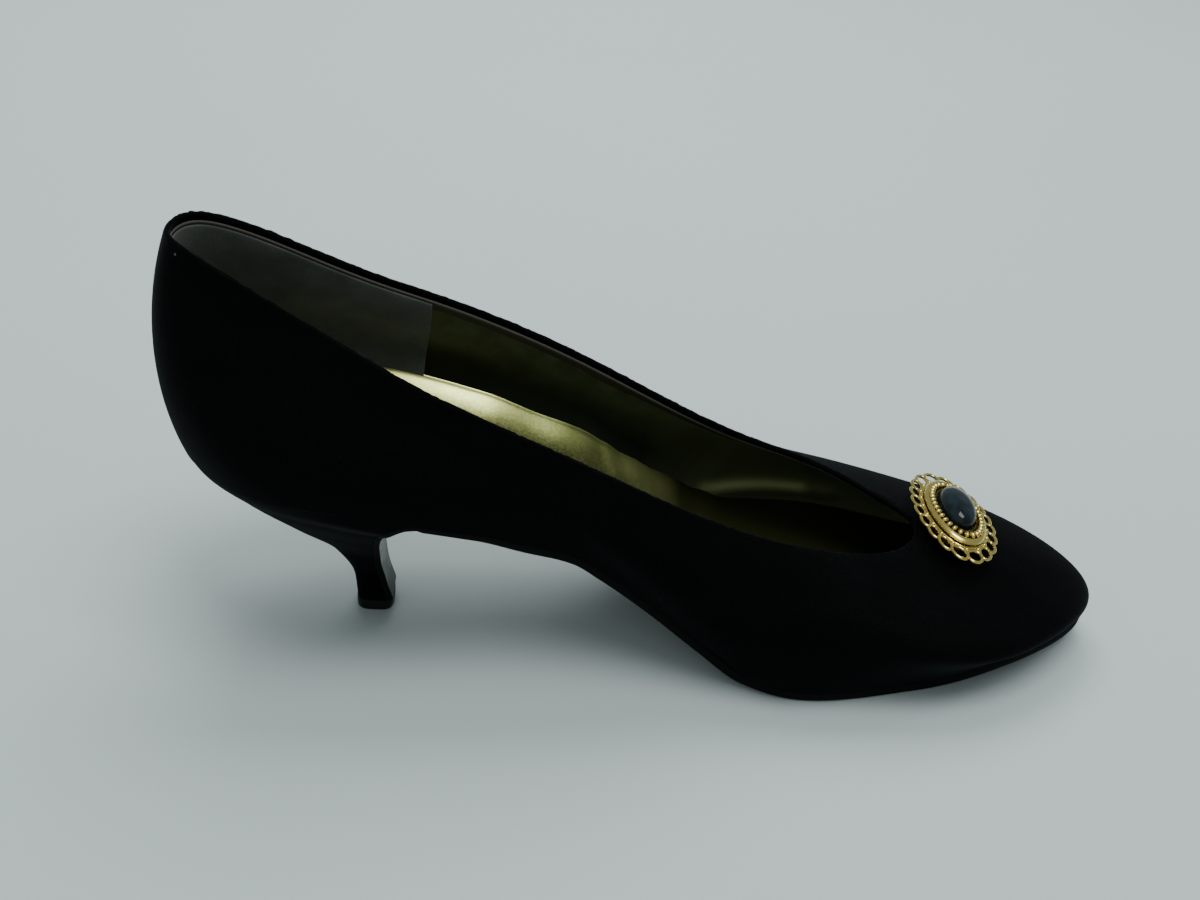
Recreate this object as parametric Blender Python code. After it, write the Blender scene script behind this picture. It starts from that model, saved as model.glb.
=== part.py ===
"""Left pump shoe: velvet upper, thin sole, covered kitten heel and an oval brooch across the vamp.

Sizes are in millimetres in the frame of the last: x runs from the heel's back to the toe, y to the outer
(lateral) side and z up from the floor. An empty carries the pieces to the middle of the floor, in metres.
"""

from collections import namedtuple
from math import radians

import bmesh
import bpy
import numpy as np

MM = 0.001

# Driving sizes of the last and its bottom
FEATHER_START = 10.0
FEATHER_LENGTH = 240.0
BALL_WIDTH = 73.5
SEAT_RISE = 49.2
BACK_HEIGHT = 111.0
WALL = 1.8
GAP = 0.3

# The feather is the edge where the upper meets the sole. Places along are per cent of FEATHER_LENGTH, the
# half widths per cent of BALL_WIDTH, the lift per cent of SEAT_RISE above the tread, and the collar's
# height per cent of BACK_HEIGHT. Each rib leaves the feather with a handle of length rise, leaning out by
# flare degrees, and comes down from the collar with one of length run, leaning out by lean degrees.
# The last column is the height of the insole's edge above the feather.
Section = namedtuple(
    "Section",
    "name along lateral medial lift collar_along collar_lateral collar_medial collar_height rise flare run "
    "lean insole",
)
SECTIONS = (
    Section("heel_back", 0.0, 0.0, 0.0, 98.0, 0.2, 0.0, 0.0, 100.0, 24.0, 19, 15.0, 20, 6.5),
    Section("heel_corner", 4.8, 25.9, 25.9, 100.0, 3.1, 13.6, 13.6, 99.1, 24.5, 20, 19.5, 12, 6.5),
    Section("heel_side", 14.2, 38.8, 38.8, 99.0, 15.0, 23.1, 23.1, 86.5, 23.0, 18, 20.5, 8, 6.5),
    Section("seat_front", 31.0, 36.7, 34.7, 84.3, 27.3, 31.3, 31.3, 73.9, 21.0, 18, 19.0, 7, 7.0),
    Section("waist", 45.0, 36.7, 25.9, 51.6, 39.6, 33.3, 33.3, 62.2, 19.0, 24, 18.5, 10, 7.5),
    Section("joint", 56.3, 46.3, 34.3, 14.6, 49.8, 32.7, 31.6, 50.9, 17.0, 24, 18.5, 21, 7.5),
    Section("ball", 66.5, 55.8, 44.2, 0.0, 59.6, 33.3, 26.4, 40.1, 16.0, 21, 23.0, 45, 6.5),
    Section("vamp", 79.2, 49.7, 37.2, 0.0, 69.0, 27.2, 23.3, 34.7, 13.0, 18, 33.5, 64, 5.5),
    Section("toe_side", 90.0, 33.4, 26.5, 6.5, 76.1, 16.8, 12.5, 30.2, 9.2, 18, 51.0, 71, 4.5),
    Section("toe_tip", 100.4, 2.7, -2.7, 10.6, 79.1, 1.6, -1.6, 30.2, 11.0, 16, 51.0, 74, 4.0),
)
# Further points of the bottom line, place along and lift: the shank runs straight and bends at the second
SHANK = ((36.5, 73.5), (42.0, 62.3), (50.5, 33.0), (61.0, 2.7))
RIBS_PER_SECTION = 5
RIBS_AT_TOE = 9
RIB_POINTS = 13
FINE_RIB_POINTS = 61

# Sole and insole
TREAD_THICKNESS = 3.0
WAIST_THICKNESS = 2.0
THIN_FROM = 74.0
THICK_FROM = 104.0
SOLE_INSET = 0.1
SOLE_BEVEL = 0.6
SOLE_ACROSS = 6
SEAT_DISH = 4.5
FOREFOOT_DISH = 1.8
DISH_FROM = 112.0
DISH_TO = 158.0
FULL_DISH_WIDTH = 46.0
INSOLE_ACROSS = 6

# The sole leaves the waist here and turns down the heel breast: back face of the flap, top to bottom
FLAP_START = 70.0
FLAP_STEP = 2.0
FlapPoint = namedtuple("FlapPoint", "x z thickness")
FLAP_BACK = (
    FlapPoint(66.6, 47.4, 1.6),
    FlapPoint(63.7, 45.4, 1.6),
    FlapPoint(61.1, 41.4, 1.6),
    FlapPoint(59.4, 36.0, 1.6),
    FlapPoint(58.3, 28.0, 1.6),
    FlapPoint(58.0, 19.0, 1.6),
    FlapPoint(59.2, 10.0, 1.6),
    FlapPoint(60.9, 3.8, 1.6),
)

# Heel: each level is the share of the way from the seat down to the top piece, with the place of its back,
# its half width, the power that squares its back and the share by which its front corners are drawn in
HeelLevel = namedtuple("HeelLevel", "down back half power tuck")
HEEL_LEVELS = (
    HeelLevel(0.00, 10.2, 28.0, 1.00, 0.00),
    HeelLevel(0.08, 12.7, 27.6, 1.00, 0.03),
    HeelLevel(0.22, 20.5, 23.4, 0.95, 0.10),
    HeelLevel(0.42, 32.6, 15.8, 0.87, 0.10),
    HeelLevel(0.66, 46.7, 7.9, 0.80, 0.06),
    HeelLevel(0.86, 51.9, 5.2, 0.70, 0.06),
    HeelLevel(1.00, 52.6, 5.2, 0.65, 0.06),
)
TUCK_POWER = 4
HEEL_RINGS = (0.0, 0.03, 0.06, 0.1, 0.15, 0.22, 0.32, 0.42, 0.54, 0.66, 0.76, 0.86, 1.0)
HEEL_RING_POINTS = 25
HEEL_LIP = 68.5
SEAT_MARGIN = 12.0
RIM_SHARE = 0.2
TOP_PIECE_HEIGHT = 3.5
TOP_PIECE_RINGS = ((TOP_PIECE_HEIGHT, 0.0), (0.9, 0.0), (0.0, -0.6))

# Brooch: half lengths across the foot and along it, heights above the vamp
BROOCH_X = 209.2
BROOCH_Y = 4.5
BROOCH_REACH = 6.0
PLATE_HALF = (20.5, 11.8)
PLATE_LOW = 3.8
PLATE_THICKNESS = 1.2
PLATE_BEND = 300.0
SCALLOPS = 20
SCALLOP_DEPTH = 0.09
SCALLOP_POINTS = 5
HOLE_PLACE = 0.845
HOLE_HALF = (1.7, 1.35)
HOLE_SIDES = 6
BezelPoint = namedtuple("BezelPoint", "share height")
BEZEL = (
    BezelPoint(0.00, 0.6),
    BezelPoint(0.52, 0.6),
    BezelPoint(0.60, 2.0),
    BezelPoint(0.60, 5.4),
    BezelPoint(0.71, 5.4),
    BezelPoint(0.71, 6.1),
    BezelPoint(0.64, 6.7),
    BezelPoint(0.56, 7.7),
    BezelPoint(0.48, 7.8),
    BezelPoint(0.45, 7.0),
    BezelPoint(0.45, 6.2),
    BezelPoint(0.00, 6.2),
)
STONE = (
    BezelPoint(0.00, 6.5),
    BezelPoint(0.425, 6.5),
    BezelPoint(0.425, 7.1),
    BezelPoint(0.39, 8.5),
    BezelPoint(0.30, 9.7),
    BezelPoint(0.16, 10.4),
    BezelPoint(0.00, 10.6),
)
BEZEL_AROUND = 36
STONE_AROUND = 28
SMOOTH_ANGLE = 40
MERGE_DISTANCE = 0.01

VELVET = (0.006, 0.006, 0.008)
SOLE_BLACK = (0.010, 0.010, 0.011)
LIFT_BLACK = (0.015, 0.015, 0.016)
SOCK_GOLD = (0.42, 0.36, 0.18)
PALE_GOLD = (0.78, 0.64, 0.33)
STONE_BLACK = (0.010, 0.014, 0.018)


# Curves

def hermite(knots, values, slopes, at):
    """Value and slope at each place of the cubic pieces that join the rows with the given slopes."""
    index = np.clip(np.searchsorted(knots, at, side="right") - 1, 0, len(knots) - 2)
    step = (knots[index + 1] - knots[index])[:, None]
    t = (at - knots[index])[:, None] / step
    start, end = values[index], values[index + 1]
    leave, arrive = slopes[index] * step, slopes[index + 1] * step
    cubic = 2 * (start - end) + leave + arrive
    square = 3 * (end - start) - 2 * leave - arrive
    value = ((cubic * t + square) * t + leave) * t + start
    slope = ((3 * cubic * t + 2 * square) * t + leave) / step
    return value, slope


def closed_spline(knots, values, at):
    """Smooth closed curve through rows whose last repeats the first."""
    step = np.diff(knots)
    before = np.roll(step, 1)
    rise = np.diff(values, axis=0) / step[:, None]
    count = len(step)
    row = np.arange(count)
    matrix = np.zeros((count, count))
    matrix[row, row - 1] += step
    matrix[row, row] += 2 * (step + before)
    matrix[row, (row + 1) % count] += before
    known = 3 * (step[:, None] * np.roll(rise, 1, axis=0) + before[:, None] * rise)
    slopes = np.linalg.solve(matrix, known)
    return hermite(knots, values, np.vstack([slopes, slopes[:1]]), at)


def monotone(knots, values, at):
    """Curve through the rows that never passes beyond a row's own value."""
    step = np.diff(knots)[:, None]
    rise = np.diff(values, axis=0) / step
    turns = rise[:-1] * rise[1:] <= 0
    first = np.where(turns, 1, rise[:-1])
    second = np.where(turns, 1, rise[1:])
    near, far = 2 * step[1:] + step[:-1], step[1:] + 2 * step[:-1]
    inner = np.where(turns, 0, (near + far) / (near / first + far / second))
    return hermite(knots, values, np.vstack([rise[:1], inner, rise[-1:]]), at)


def smooth_step(x, low, high):
    """Rises from 0 at low to 1 at high with level ends."""
    share = np.clip((x - low) / (high - low), 0, 1)
    return share**2 * (3 - 2 * share)


# The last

def column(name):
    return np.array([getattr(section, name) for section in SECTIONS], float)


FEATHER_X = FEATHER_START + column("along") * FEATHER_LENGTH / 100
COLLAR_X = FEATHER_START + column("collar_along") * FEATHER_LENGTH / 100
COLLAR_Z = column("collar_height") * BACK_HEIGHT / 100
BOTTOM_LINE = np.array(sorted([*zip(column("along"), column("lift")), *SHANK])) / 100
BOTTOM_X = FEATHER_START + BOTTOM_LINE[:, 0] * FEATHER_LENGTH
BOTTOM_Z = TREAD_THICKNESS + GAP + BOTTOM_LINE[:, 1:] * SEAT_RISE


def profile(x):
    """Height and slope of the feather line, the bottom of the last seen from the side."""
    x = np.asarray(x, float)
    value, slope = monotone(BOTTOM_X, BOTTOM_Z, x.ravel())
    return value.reshape(x.shape), slope.reshape(x.shape)


def outward(slopes):
    """Plan normals of a loop that runs from the heel along the lateral side to the toe and back."""
    normals = np.stack([-slopes[:, 1], slopes[:, 0], np.zeros(len(slopes))], axis=1)
    return normals / np.linalg.norm(normals, axis=1)[:, None]


def last_loops():
    """Feather points, their plan normals, collar points, their plan normals, and the handle columns."""
    sides = []
    for half, sign in (("lateral", 1), ("medial", -1)):
        feather_y = sign * column(half) * BALL_WIDTH / 100
        collar_y = sign * column(f"collar_{half}") * BALL_WIDTH / 100
        handles = [column(name) for name in ("rise", "flare", "run", "lean", "insole")]
        sides.append(np.stack([FEATHER_X, feather_y, COLLAR_X, collar_y, COLLAR_Z, *handles], axis=1))
    rows = np.vstack([sides[0], sides[1][-2::-1]])
    moves = np.diff(rows, axis=0)
    lengths = np.hypot(moves[:, 0], moves[:, 1]) + 0.5 * np.hypot(moves[:, 2], moves[:, 3])
    knots = np.concatenate([[0], np.cumsum(lengths)])
    counts = np.full(len(lengths), RIBS_PER_SECTION)
    counts[len(SECTIONS) - 2 : len(SECTIONS)] = RIBS_AT_TOE
    stretches = zip(knots[:-1], knots[1:], counts)
    at = np.concatenate([np.linspace(start, end, n, endpoint=False) for start, end, n in stretches])
    value, slope = closed_spline(knots, rows, at)
    feather = np.stack([value[:, 0], value[:, 1], profile(value[:, 0])[0]], axis=1)
    return feather, outward(slope[:, :2]), value[:, 2:5], outward(slope[:, 2:4]), value[:, 5:]


FEATHER, FEATHER_OUT, COLLAR, COLLAR_OUT, HANDLES = last_loops()
TOE = len(FEATHER) // 2
LATERAL = np.arange(TOE + 1)
MEDIAL = -LATERAL % len(FEATHER)


def ribs(shares):
    """Outer face of the upper: a cubic rib at each feather point, read at shares of its way up."""
    up = np.array([0.0, 0.0, 1.0])
    rise, flare, run, lean = (HANDLES[:, k : k + 1] for k in range(4))
    flare, lean = np.radians(flare), np.radians(lean)
    low = FEATHER + rise * (up * np.cos(flare) + FEATHER_OUT * np.sin(flare))
    high = COLLAR + run * (COLLAR_OUT * np.sin(lean) - up * np.cos(lean))
    t = np.asarray(shares)[None, :, None]
    ends = (1 - t) ** 3 * FEATHER[:, None] + t**3 * COLLAR[:, None]
    return ends + 3 * (1 - t) ** 2 * t * low[:, None] + 3 * (1 - t) * t**2 * high[:, None]


def face_normals(grid):
    """Outward normals of a grid of ribs."""
    around = np.roll(grid, -1, axis=0) - np.roll(grid, 1, axis=0)
    normals = np.cross(np.gradient(grid, axis=1), around)
    return normals / np.linalg.norm(normals, axis=2)[..., None]


# Meshes

def material(name, colour, roughness, metallic=0.0):
    made = bpy.data.materials.new(name)
    made.use_nodes = True
    shader = made.node_tree.nodes["Principled BSDF"]
    shader.inputs["Base Color"].default_value = (*colour, 1.0)
    shader.inputs["Roughness"].default_value = roughness
    shader.inputs["Metallic"].default_value = metallic
    return made


def mesh_object(name, points, faces, finish, closed=True):
    """Object whose mesh has the points, merged where they meet, and the faces turned outwards."""
    mesh = bpy.data.meshes.new(name)
    mesh.from_pydata((np.asarray(points) * MM).tolist(), [], faces)
    work = bmesh.new()
    work.from_mesh(mesh)
    bmesh.ops.remove_doubles(work, verts=work.verts, dist=MERGE_DISTANCE * MM)
    if closed:
        bmesh.ops.recalc_face_normals(work, faces=work.faces)
    work.to_mesh(mesh)
    work.free()
    mesh.shade_smooth()
    mesh.set_sharp_from_angle(angle=radians(SMOOTH_ANGLE))
    if finish:
        mesh.materials.append(finish)
    made = bpy.data.objects.new(name, mesh)
    bpy.context.scene.collection.objects.link(made)
    return made


def grid_faces(rows, columns, start=0, wrap=False):
    """Quads of a grid of points stored row by row, joined round its rows where it wraps."""
    faces = []
    for r in range(rows if wrap else rows - 1):
        for c in range(columns - 1):
            here, there = r * columns + c, (r + 1) % rows * columns + c
            faces.append((start + here, start + here + 1, start + there + 1, start + there))
    return faces


def slab(name, top, bottom, finish):
    """Closed solid between two grids of stations, whose end rows may shrink to a point."""
    rows, columns = top.shape[:2]
    count = rows * columns
    faces = grid_faces(rows, columns) + grid_faces(rows, columns, count)
    rim = list(range(columns))
    rim += [r * columns + columns - 1 for r in range(1, rows)]
    rim += [(rows - 1) * columns + c for c in range(columns - 2, -1, -1)]
    rim += [r * columns for r in range(rows - 2, 0, -1)]
    for one, two in zip(rim, rim[1:] + rim[:1]):
        faces.append((one, two, two + count, one + count))
    return mesh_object(name, np.vstack([top.reshape(-1, 3), bottom.reshape(-1, 3)]), faces, finish)


def across(one, two, count):
    """Straight strips of points from each point of one edge to its partner on the other."""
    share = np.linspace(0, 1, count + 1)[None, :, None]
    return one[:, None] * (1 - share) + two[:, None] * share


# Upper

def make_upper(finish):
    grid = ribs(np.linspace(0, 1, RIB_POINTS))
    faces = grid_faces(*grid.shape[:2], wrap=True)
    upper = mesh_object("upper", grid.reshape(-1, 3), faces, finish, closed=False)
    wall = upper.modifiers.new("wall", "SOLIDIFY")
    wall.thickness = WALL * MM
    wall.offset = -1
    wall.use_even_offset = True
    return upper


# Insole

def make_insole(finish):
    """Board that fills the bottom of the upper: its edge follows the inner wall and its top is dished."""
    grid = ribs(np.linspace(0, 1, FINE_RIB_POINTS))
    inner = grid - (WALL + GAP) * face_normals(grid)
    lift = inner[:, :, 2] - FEATHER[:, None, 2] - HANDLES[:, 4:5]
    top = np.empty_like(FEATHER)
    for rib, above in enumerate(lift):
        low = int(np.argmax(above > 0)) - 1
        share = above[low] / (above[low] - above[low + 1])
        top[rib] = inner[rib, low] * (1 - share) + inner[rib, low + 1] * share
    top -= FEATHER_OUT * GAP / 2
    bottom = FEATHER - FEATHER_OUT * (WALL + 2 * GAP)
    upper_face = across(top[LATERAL], top[MEDIAL], INSOLE_ACROSS)
    lower_face = across(bottom[LATERAL], bottom[MEDIAL], INSOLE_ACROSS)
    lower_face[..., 2] = profile(lower_face[..., 0])[0] + GAP / 2
    share = np.linspace(-1, 1, INSOLE_ACROSS + 1)
    width = np.abs(top[LATERAL, 1] - top[MEDIAL, 1])
    forward = smooth_step(upper_face[..., 0], DISH_FROM, DISH_TO)
    dish = SEAT_DISH * (1 - forward) + FOREFOOT_DISH * forward
    dish *= np.minimum(1, width / FULL_DISH_WIDTH)[:, None]
    upper_face[..., 2] -= dish * (1 - share**2)
    return slab("insole", upper_face, lower_face, finish)


# Sole

def flap_path():
    """Back and front face of the sole from the waist down the heel breast, in x and z, bottom first."""
    start = np.array([FLAP_START, profile(FLAP_START)[0] - GAP, WAIST_THICKNESS])
    rows = np.vstack([start, np.array(FLAP_BACK)])
    knots = np.concatenate([[0], np.cumsum(np.hypot(*np.diff(rows[:, :2], axis=0).T))])
    at = np.linspace(0, knots[-1], 2 * len(rows) - 1)
    points, slopes = monotone(knots, rows, at)
    normals = np.stack([-slopes[:, 1], slopes[:, 0]], axis=1)
    normals /= np.linalg.norm(normals, axis=1)[:, None]
    back = points[::-1, :2]
    return back, back + points[::-1, 2:] * normals[::-1]


FLAP_POINTS, FLAP_FRONT = flap_path()
SEAT_FRONT_Z = profile(HEEL_LIP)[0] - GAP
HEEL_FOOT_Z = TOP_PIECE_HEIGHT + GAP


def heel_level(down):
    """Back, half width, power and tuck of the heel at shares of the way down."""
    rows = np.array(HEEL_LEVELS)
    value, _ = monotone(rows[:, 0], rows[:, 1:], np.asarray(down, float))
    return value.T


def d_shape(angles, power, tuck):
    """Depth and width of a D at angles from one front corner to the other, as shares of its size."""
    deep = np.abs(np.cos(angles)) ** power
    wide = np.sign(angles) * np.abs(np.sin(angles)) ** power
    return deep, wide * (1 - tuck * (2 * np.abs(angles) / np.pi) ** TUCK_POWER)


def sole_thickness(x):
    return WAIST_THICKNESS + (TREAD_THICKNESS - WAIST_THICKNESS) * smooth_step(x, THIN_FROM, THICK_FROM)


def make_outsole(finish):
    """Sole under the upper from the toe to the waist, and the flap of it that covers the heel breast."""
    faces = []
    for inset in (SOLE_INSET, SOLE_INSET + SOLE_BEVEL):
        edge = FEATHER - FEATHER_OUT * inset
        waist = LATERAL[FEATHER[LATERAL, 0] > FLAP_START + FLAP_STEP]
        strips = across(edge[waist], edge[-waist % len(edge)], SOLE_ACROSS)
        height, slope = profile(strips[..., 0])
        strips[..., 2] = height - GAP
        down = np.clip((SEAT_FRONT_Z - FLAP_POINTS[:, 1]) / (SEAT_FRONT_Z - HEEL_FOOT_Z), 0, 1)
        _, half, _, tuck = heel_level(down)
        half = half * (1 - tuck) - (inset - SOLE_INSET)
        blend = np.clip((FLAP_POINTS[:, 0] - FLAP_BACK[1].x) / (FLAP_START - FLAP_BACK[1].x), 0, 1)
        lateral = half * (1 - blend) + blend * strips[0, 0, 1]
        medial = half * (1 - blend) - blend * strips[0, -1, 1]
        one = np.stack([FLAP_POINTS[:, 0], lateral, FLAP_POINTS[:, 1]], axis=1)
        two = np.stack([FLAP_POINTS[:, 0], -medial, FLAP_POINTS[:, 1]], axis=1)
        flap = across(one, two, SOLE_ACROSS)
        if inset > SOLE_INSET:
            steep = np.sqrt(1 + slope**2)
            thickness = sole_thickness(strips[..., 0])
            strips[..., 0] += thickness * slope / steep
            strips[..., 2] -= thickness / steep
            flap[..., 0] = FLAP_FRONT[:, :1]
            flap[..., 2] = FLAP_FRONT[:, 1:]
        faces.append(np.concatenate([flap, strips]))
    return slab("outsole", *faces, finish)


# Heel

def seat_ring(angles):
    """The feather line round the seat, from the medial front corner behind the heel to the lateral one."""
    edge = FEATHER - FEATHER_OUT * GAP
    seat = LATERAL[FEATHER[LATERAL, 0] < HEEL_LIP + SEAT_MARGIN]
    order = np.concatenate([MEDIAL[seat][::-1], seat[1:]])
    half = HEEL_LEVELS[0].half
    round_to = np.arctan2(edge[order, 1] / half, (HEEL_LIP - edge[order, 0]) / (HEEL_LIP - FEATHER_START))
    ring = np.stack([np.interp(angles, round_to, edge[order, k]) for k in range(2)], axis=1)
    return ring, profile(ring[:, 0])[0] - GAP


def make_heel(finish):
    """Rings shaped like a D, from the seat outline at the top to the small end above the top piece."""
    angles = np.linspace(-np.pi / 2, np.pi / 2, HEEL_RING_POINTS)
    seat, seat_z = seat_ring(angles)
    down = np.array(HEEL_RINGS)[:, None]
    back, half, power, tuck = heel_level(HEEL_RINGS)[..., None]
    deep, wide = d_shape(angles, power, tuck)
    height = seat_z * (1 - down) + HEEL_FOOT_Z * down
    front_z = height[:, :1]
    front = np.minimum(HEEL_LIP, np.interp(front_z, FLAP_POINTS[:, 1], FLAP_POINTS[:, 0]) - GAP)
    along = front - (front - back) * deep
    rim = np.clip(1 - down / RIM_SHARE, 0, 1) ** 2
    seat_share = (seat[:, 0] - seat[:, 0].min()) / np.ptp(seat[:, 0])
    along = along * (1 - rim) + rim * (back + (front - back) * seat_share)
    wide = half * wide * (1 - rim) + rim * seat[:, 1] * half / HEEL_LEVELS[0].half
    rings = np.stack([along, wide, height], axis=2)
    return d_loft("heel", rings, finish)


def d_loft(name, rings, finish):
    """Closed solid through D rings, each from one front corner round the back to the other."""
    levels, count = rings.shape[:2]
    faces = grid_faces(levels, count)
    for level in range(levels - 1):
        low, high = level * count, (level + 1) * count
        faces.append((low, high, high + count - 1, low + count - 1))
    for first in (0, (levels - 1) * count):
        for k in range(count // 2):
            ring = (first + k, first + k + 1, first + count - 2 - k, first + count - 1 - k)
            faces.append(tuple(dict.fromkeys(ring)))
    return mesh_object(name, rings.reshape(-1, 3), faces, finish)


def make_top_piece(finish):
    """Lift under the heel and the end of the flap, its edge worn round where it meets the floor."""
    angles = np.linspace(-np.pi / 2, np.pi / 2, HEEL_RING_POINTS)
    end = HEEL_LEVELS[-1]
    deep, wide = d_shape(angles, end.power, end.tuck)
    front = FLAP_BACK[-1].x + FLAP_BACK[-1].thickness
    rings = []
    for height, grow in TOP_PIECE_RINGS:
        along = front + grow - (front - end.back + 2 * grow) * deep
        rings.append(np.stack([along, (end.half + grow) * wide, np.full_like(along, height)], axis=1))
    return d_loft("top_piece", np.array(rings), finish)


# Brooch

def brooch_frame():
    """Base point on the vamp and the brooch's axes: across the foot, towards the toe and out."""
    near = ribs(np.linspace(0.5, 1, FINE_RIB_POINTS)).reshape(-1, 3)
    near = near[np.hypot(near[:, 0] - BROOCH_X, near[:, 1] - BROOCH_Y) < BROOCH_REACH]
    offsets = np.stack([near[:, 0] - BROOCH_X, near[:, 1] - BROOCH_Y, np.ones(len(near))], axis=1)
    slope_x, slope_y, height = np.linalg.lstsq(offsets, near[:, 2], rcond=None)[0]
    out = np.array([-slope_x, -slope_y, 1.0])
    out /= np.linalg.norm(out)
    toeward = np.array([1.0, 0.0, slope_x])
    toeward /= np.linalg.norm(toeward)
    return np.array([BROOCH_X, BROOCH_Y, height]), np.cross(out, toeward), toeward, out


def on_brooch(places):
    """Shoe points of places given as across, toeward and height, the plate bent down towards its ends."""
    base, side, toeward, out = brooch_frame()
    height = places[..., 2:3] - places[..., :1] ** 2 / (2 * PLATE_BEND)
    return base + places[..., :1] * side + places[..., 1:2] * toeward + height * out


def even_angles(count):
    """Angles that divide the plate's oval into steps of equal length."""
    fine = np.linspace(0, 2 * np.pi, 721)
    steps = np.hypot(*(np.diff(half * wave(fine)) for half, wave in zip(PLATE_HALF, (np.cos, np.sin))))
    length = np.concatenate([[0], np.cumsum(steps)])
    return np.interp(np.arange(count) * length[-1] / count, length, fine)


def oval(share, angles):
    """Across and toeward places on the plate's oval shrunk to a share of its size."""
    side = share * PLATE_HALF[0] * np.cos(angles)
    toeward = share * PLATE_HALF[1] * np.sin(angles)
    return np.stack([side, toeward], axis=-1)


def oval_turning(name, points, around, finish):
    """Solid whose profile, as shares of the plate's oval and heights, is carried round it."""
    angles = np.linspace(0, 2 * np.pi, around, endpoint=False)
    rings = []
    for point in points:
        height = np.full((around, 1), point.height)
        rings.append(np.hstack([oval(point.share, angles), height]))
    places = on_brooch(np.array(rings).transpose(1, 0, 2))
    return mesh_object(name, places.reshape(-1, 3), grid_faces(around, len(points), wrap=True), finish)


def make_filigree(finish):
    """Scalloped oval plate round the bezel with a hole in each scallop."""
    around = SCALLOPS * SCALLOP_POINTS
    angles = even_angles(around)
    wave = np.abs(np.sin(np.pi * np.arange(around) / SCALLOP_POINTS))
    inner = BEZEL[2].share + GAP / PLATE_HALF[1]
    edges = [oval(inner, angles), oval(1 - SCALLOP_DEPTH * (1 - wave), angles)]
    rings = []
    for edge, height in ((0, 0), (1, 0), (1, 1), (0, 1)):
        level = np.full((around, 1), PLATE_LOW + height * PLATE_THICKNESS)
        rings.append(np.hstack([edges[edge], level]))
    rings.append(rings[0])
    places = on_brooch(np.array(rings).transpose(1, 0, 2))
    plate = mesh_object("brooch_filigree", places.reshape(-1, 3), grid_faces(around, 5, wrap=True), finish)
    cut = plate.modifiers.new("holes", "BOOLEAN")
    cut.operation = "DIFFERENCE"
    cut.object = make_hole_cutter()
    return plate


def make_hole_cutter():
    """Prisms through the plate, one in the middle of each scallop."""
    middles = even_angles(2 * SCALLOPS)[1::2]
    turn = np.linspace(0, 2 * np.pi, HOLE_SIDES, endpoint=False) + np.pi / HOLE_SIDES
    points = []
    faces = []
    for angle in middles:
        centre = oval(HOLE_PLACE, angle)
        along = np.array([-PLATE_HALF[0] * np.sin(angle), PLATE_HALF[1] * np.cos(angle)])
        along /= np.linalg.norm(along)
        outer = np.array([along[1], -along[0]])
        ring = centre + HOLE_HALF[0] * np.outer(np.cos(turn), along)
        ring += HOLE_HALF[1] * np.outer(np.sin(turn), outer)
        first = len(points)
        for level in (PLATE_LOW - PLATE_THICKNESS, PLATE_LOW + 2 * PLATE_THICKNESS):
            points.extend(np.hstack([ring, np.full((HOLE_SIDES, 1), level)]))
        low = list(range(first, first + HOLE_SIDES))
        high = [k + HOLE_SIDES for k in low]
        faces += [low, high]
        for k in range(HOLE_SIDES):
            faces.append((low[k - 1], low[k], high[k], high[k - 1]))
    cutter = mesh_object("hole_cutter", on_brooch(np.array(points)), faces, None)
    cutter.hide_render = True
    cutter.display_type = "WIRE"
    return cutter


# Assembly

def main():
    for old in list(bpy.data.objects):
        bpy.data.objects.remove(old)
    velvet = material("velvet", VELVET, 0.9)
    gold = material("pale_gold", PALE_GOLD, 0.3, 1.0)
    make_upper(velvet)
    make_insole(material("gold_sock", SOCK_GOLD, 0.35, 0.8))
    make_outsole(material("sole_leather", SOLE_BLACK, 0.3))
    make_heel(velvet)
    make_top_piece(material("lift_plastic", LIFT_BLACK, 0.4))
    make_filigree(gold)
    oval_turning("brooch_bezel", BEZEL, BEZEL_AROUND, gold)
    oval_turning("brooch_stone", STONE, STONE_AROUND, material("stone", STONE_BLACK, 0.05))
    outline = ribs(np.linspace(0, 1, RIB_POINTS)).reshape(-1, 3)
    middle = (outline.min(axis=0) + outline.max(axis=0)) / 2
    floor_place = bpy.data.objects.new("floor_place", None)
    floor_place.location = (-middle[0] * MM, -middle[1] * MM, 0.0)
    bpy.context.scene.collection.objects.link(floor_place)
    for piece in bpy.data.objects:
        if piece != floor_place:
            piece.parent = floor_place


main()
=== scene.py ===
"""Looks of a left pump: napped velvet, gold lining and sock, polished sole, covered heel and oval brooch.

Sizes are in millimetres in the frame of the last: x runs from the heel's back to the toe, y to the outer
(lateral) side and z up from the floor. Meshes are written in metres in the row's frame.
"""

import logging
import math
from dataclasses import dataclass
from enum import Enum
from functools import cached_property
from typing import NamedTuple, Optional, Sequence, Union

import bmesh
import bpy
import numpy as np
from mathutils import Matrix, Vector


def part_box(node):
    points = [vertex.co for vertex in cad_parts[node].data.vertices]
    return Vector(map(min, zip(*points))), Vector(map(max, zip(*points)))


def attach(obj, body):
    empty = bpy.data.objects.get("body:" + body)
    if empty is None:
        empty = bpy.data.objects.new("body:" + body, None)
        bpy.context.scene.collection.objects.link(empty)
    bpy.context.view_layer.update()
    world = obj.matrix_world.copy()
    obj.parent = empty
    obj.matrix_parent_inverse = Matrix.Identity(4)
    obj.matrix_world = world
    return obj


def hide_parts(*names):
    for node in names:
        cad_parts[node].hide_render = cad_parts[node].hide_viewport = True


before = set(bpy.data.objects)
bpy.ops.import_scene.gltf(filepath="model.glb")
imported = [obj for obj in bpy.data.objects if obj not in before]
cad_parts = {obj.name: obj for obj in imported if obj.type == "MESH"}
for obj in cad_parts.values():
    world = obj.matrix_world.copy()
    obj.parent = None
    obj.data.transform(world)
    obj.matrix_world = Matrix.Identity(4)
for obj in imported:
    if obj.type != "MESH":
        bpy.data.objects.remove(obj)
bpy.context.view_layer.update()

Array = np.ndarray
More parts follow.
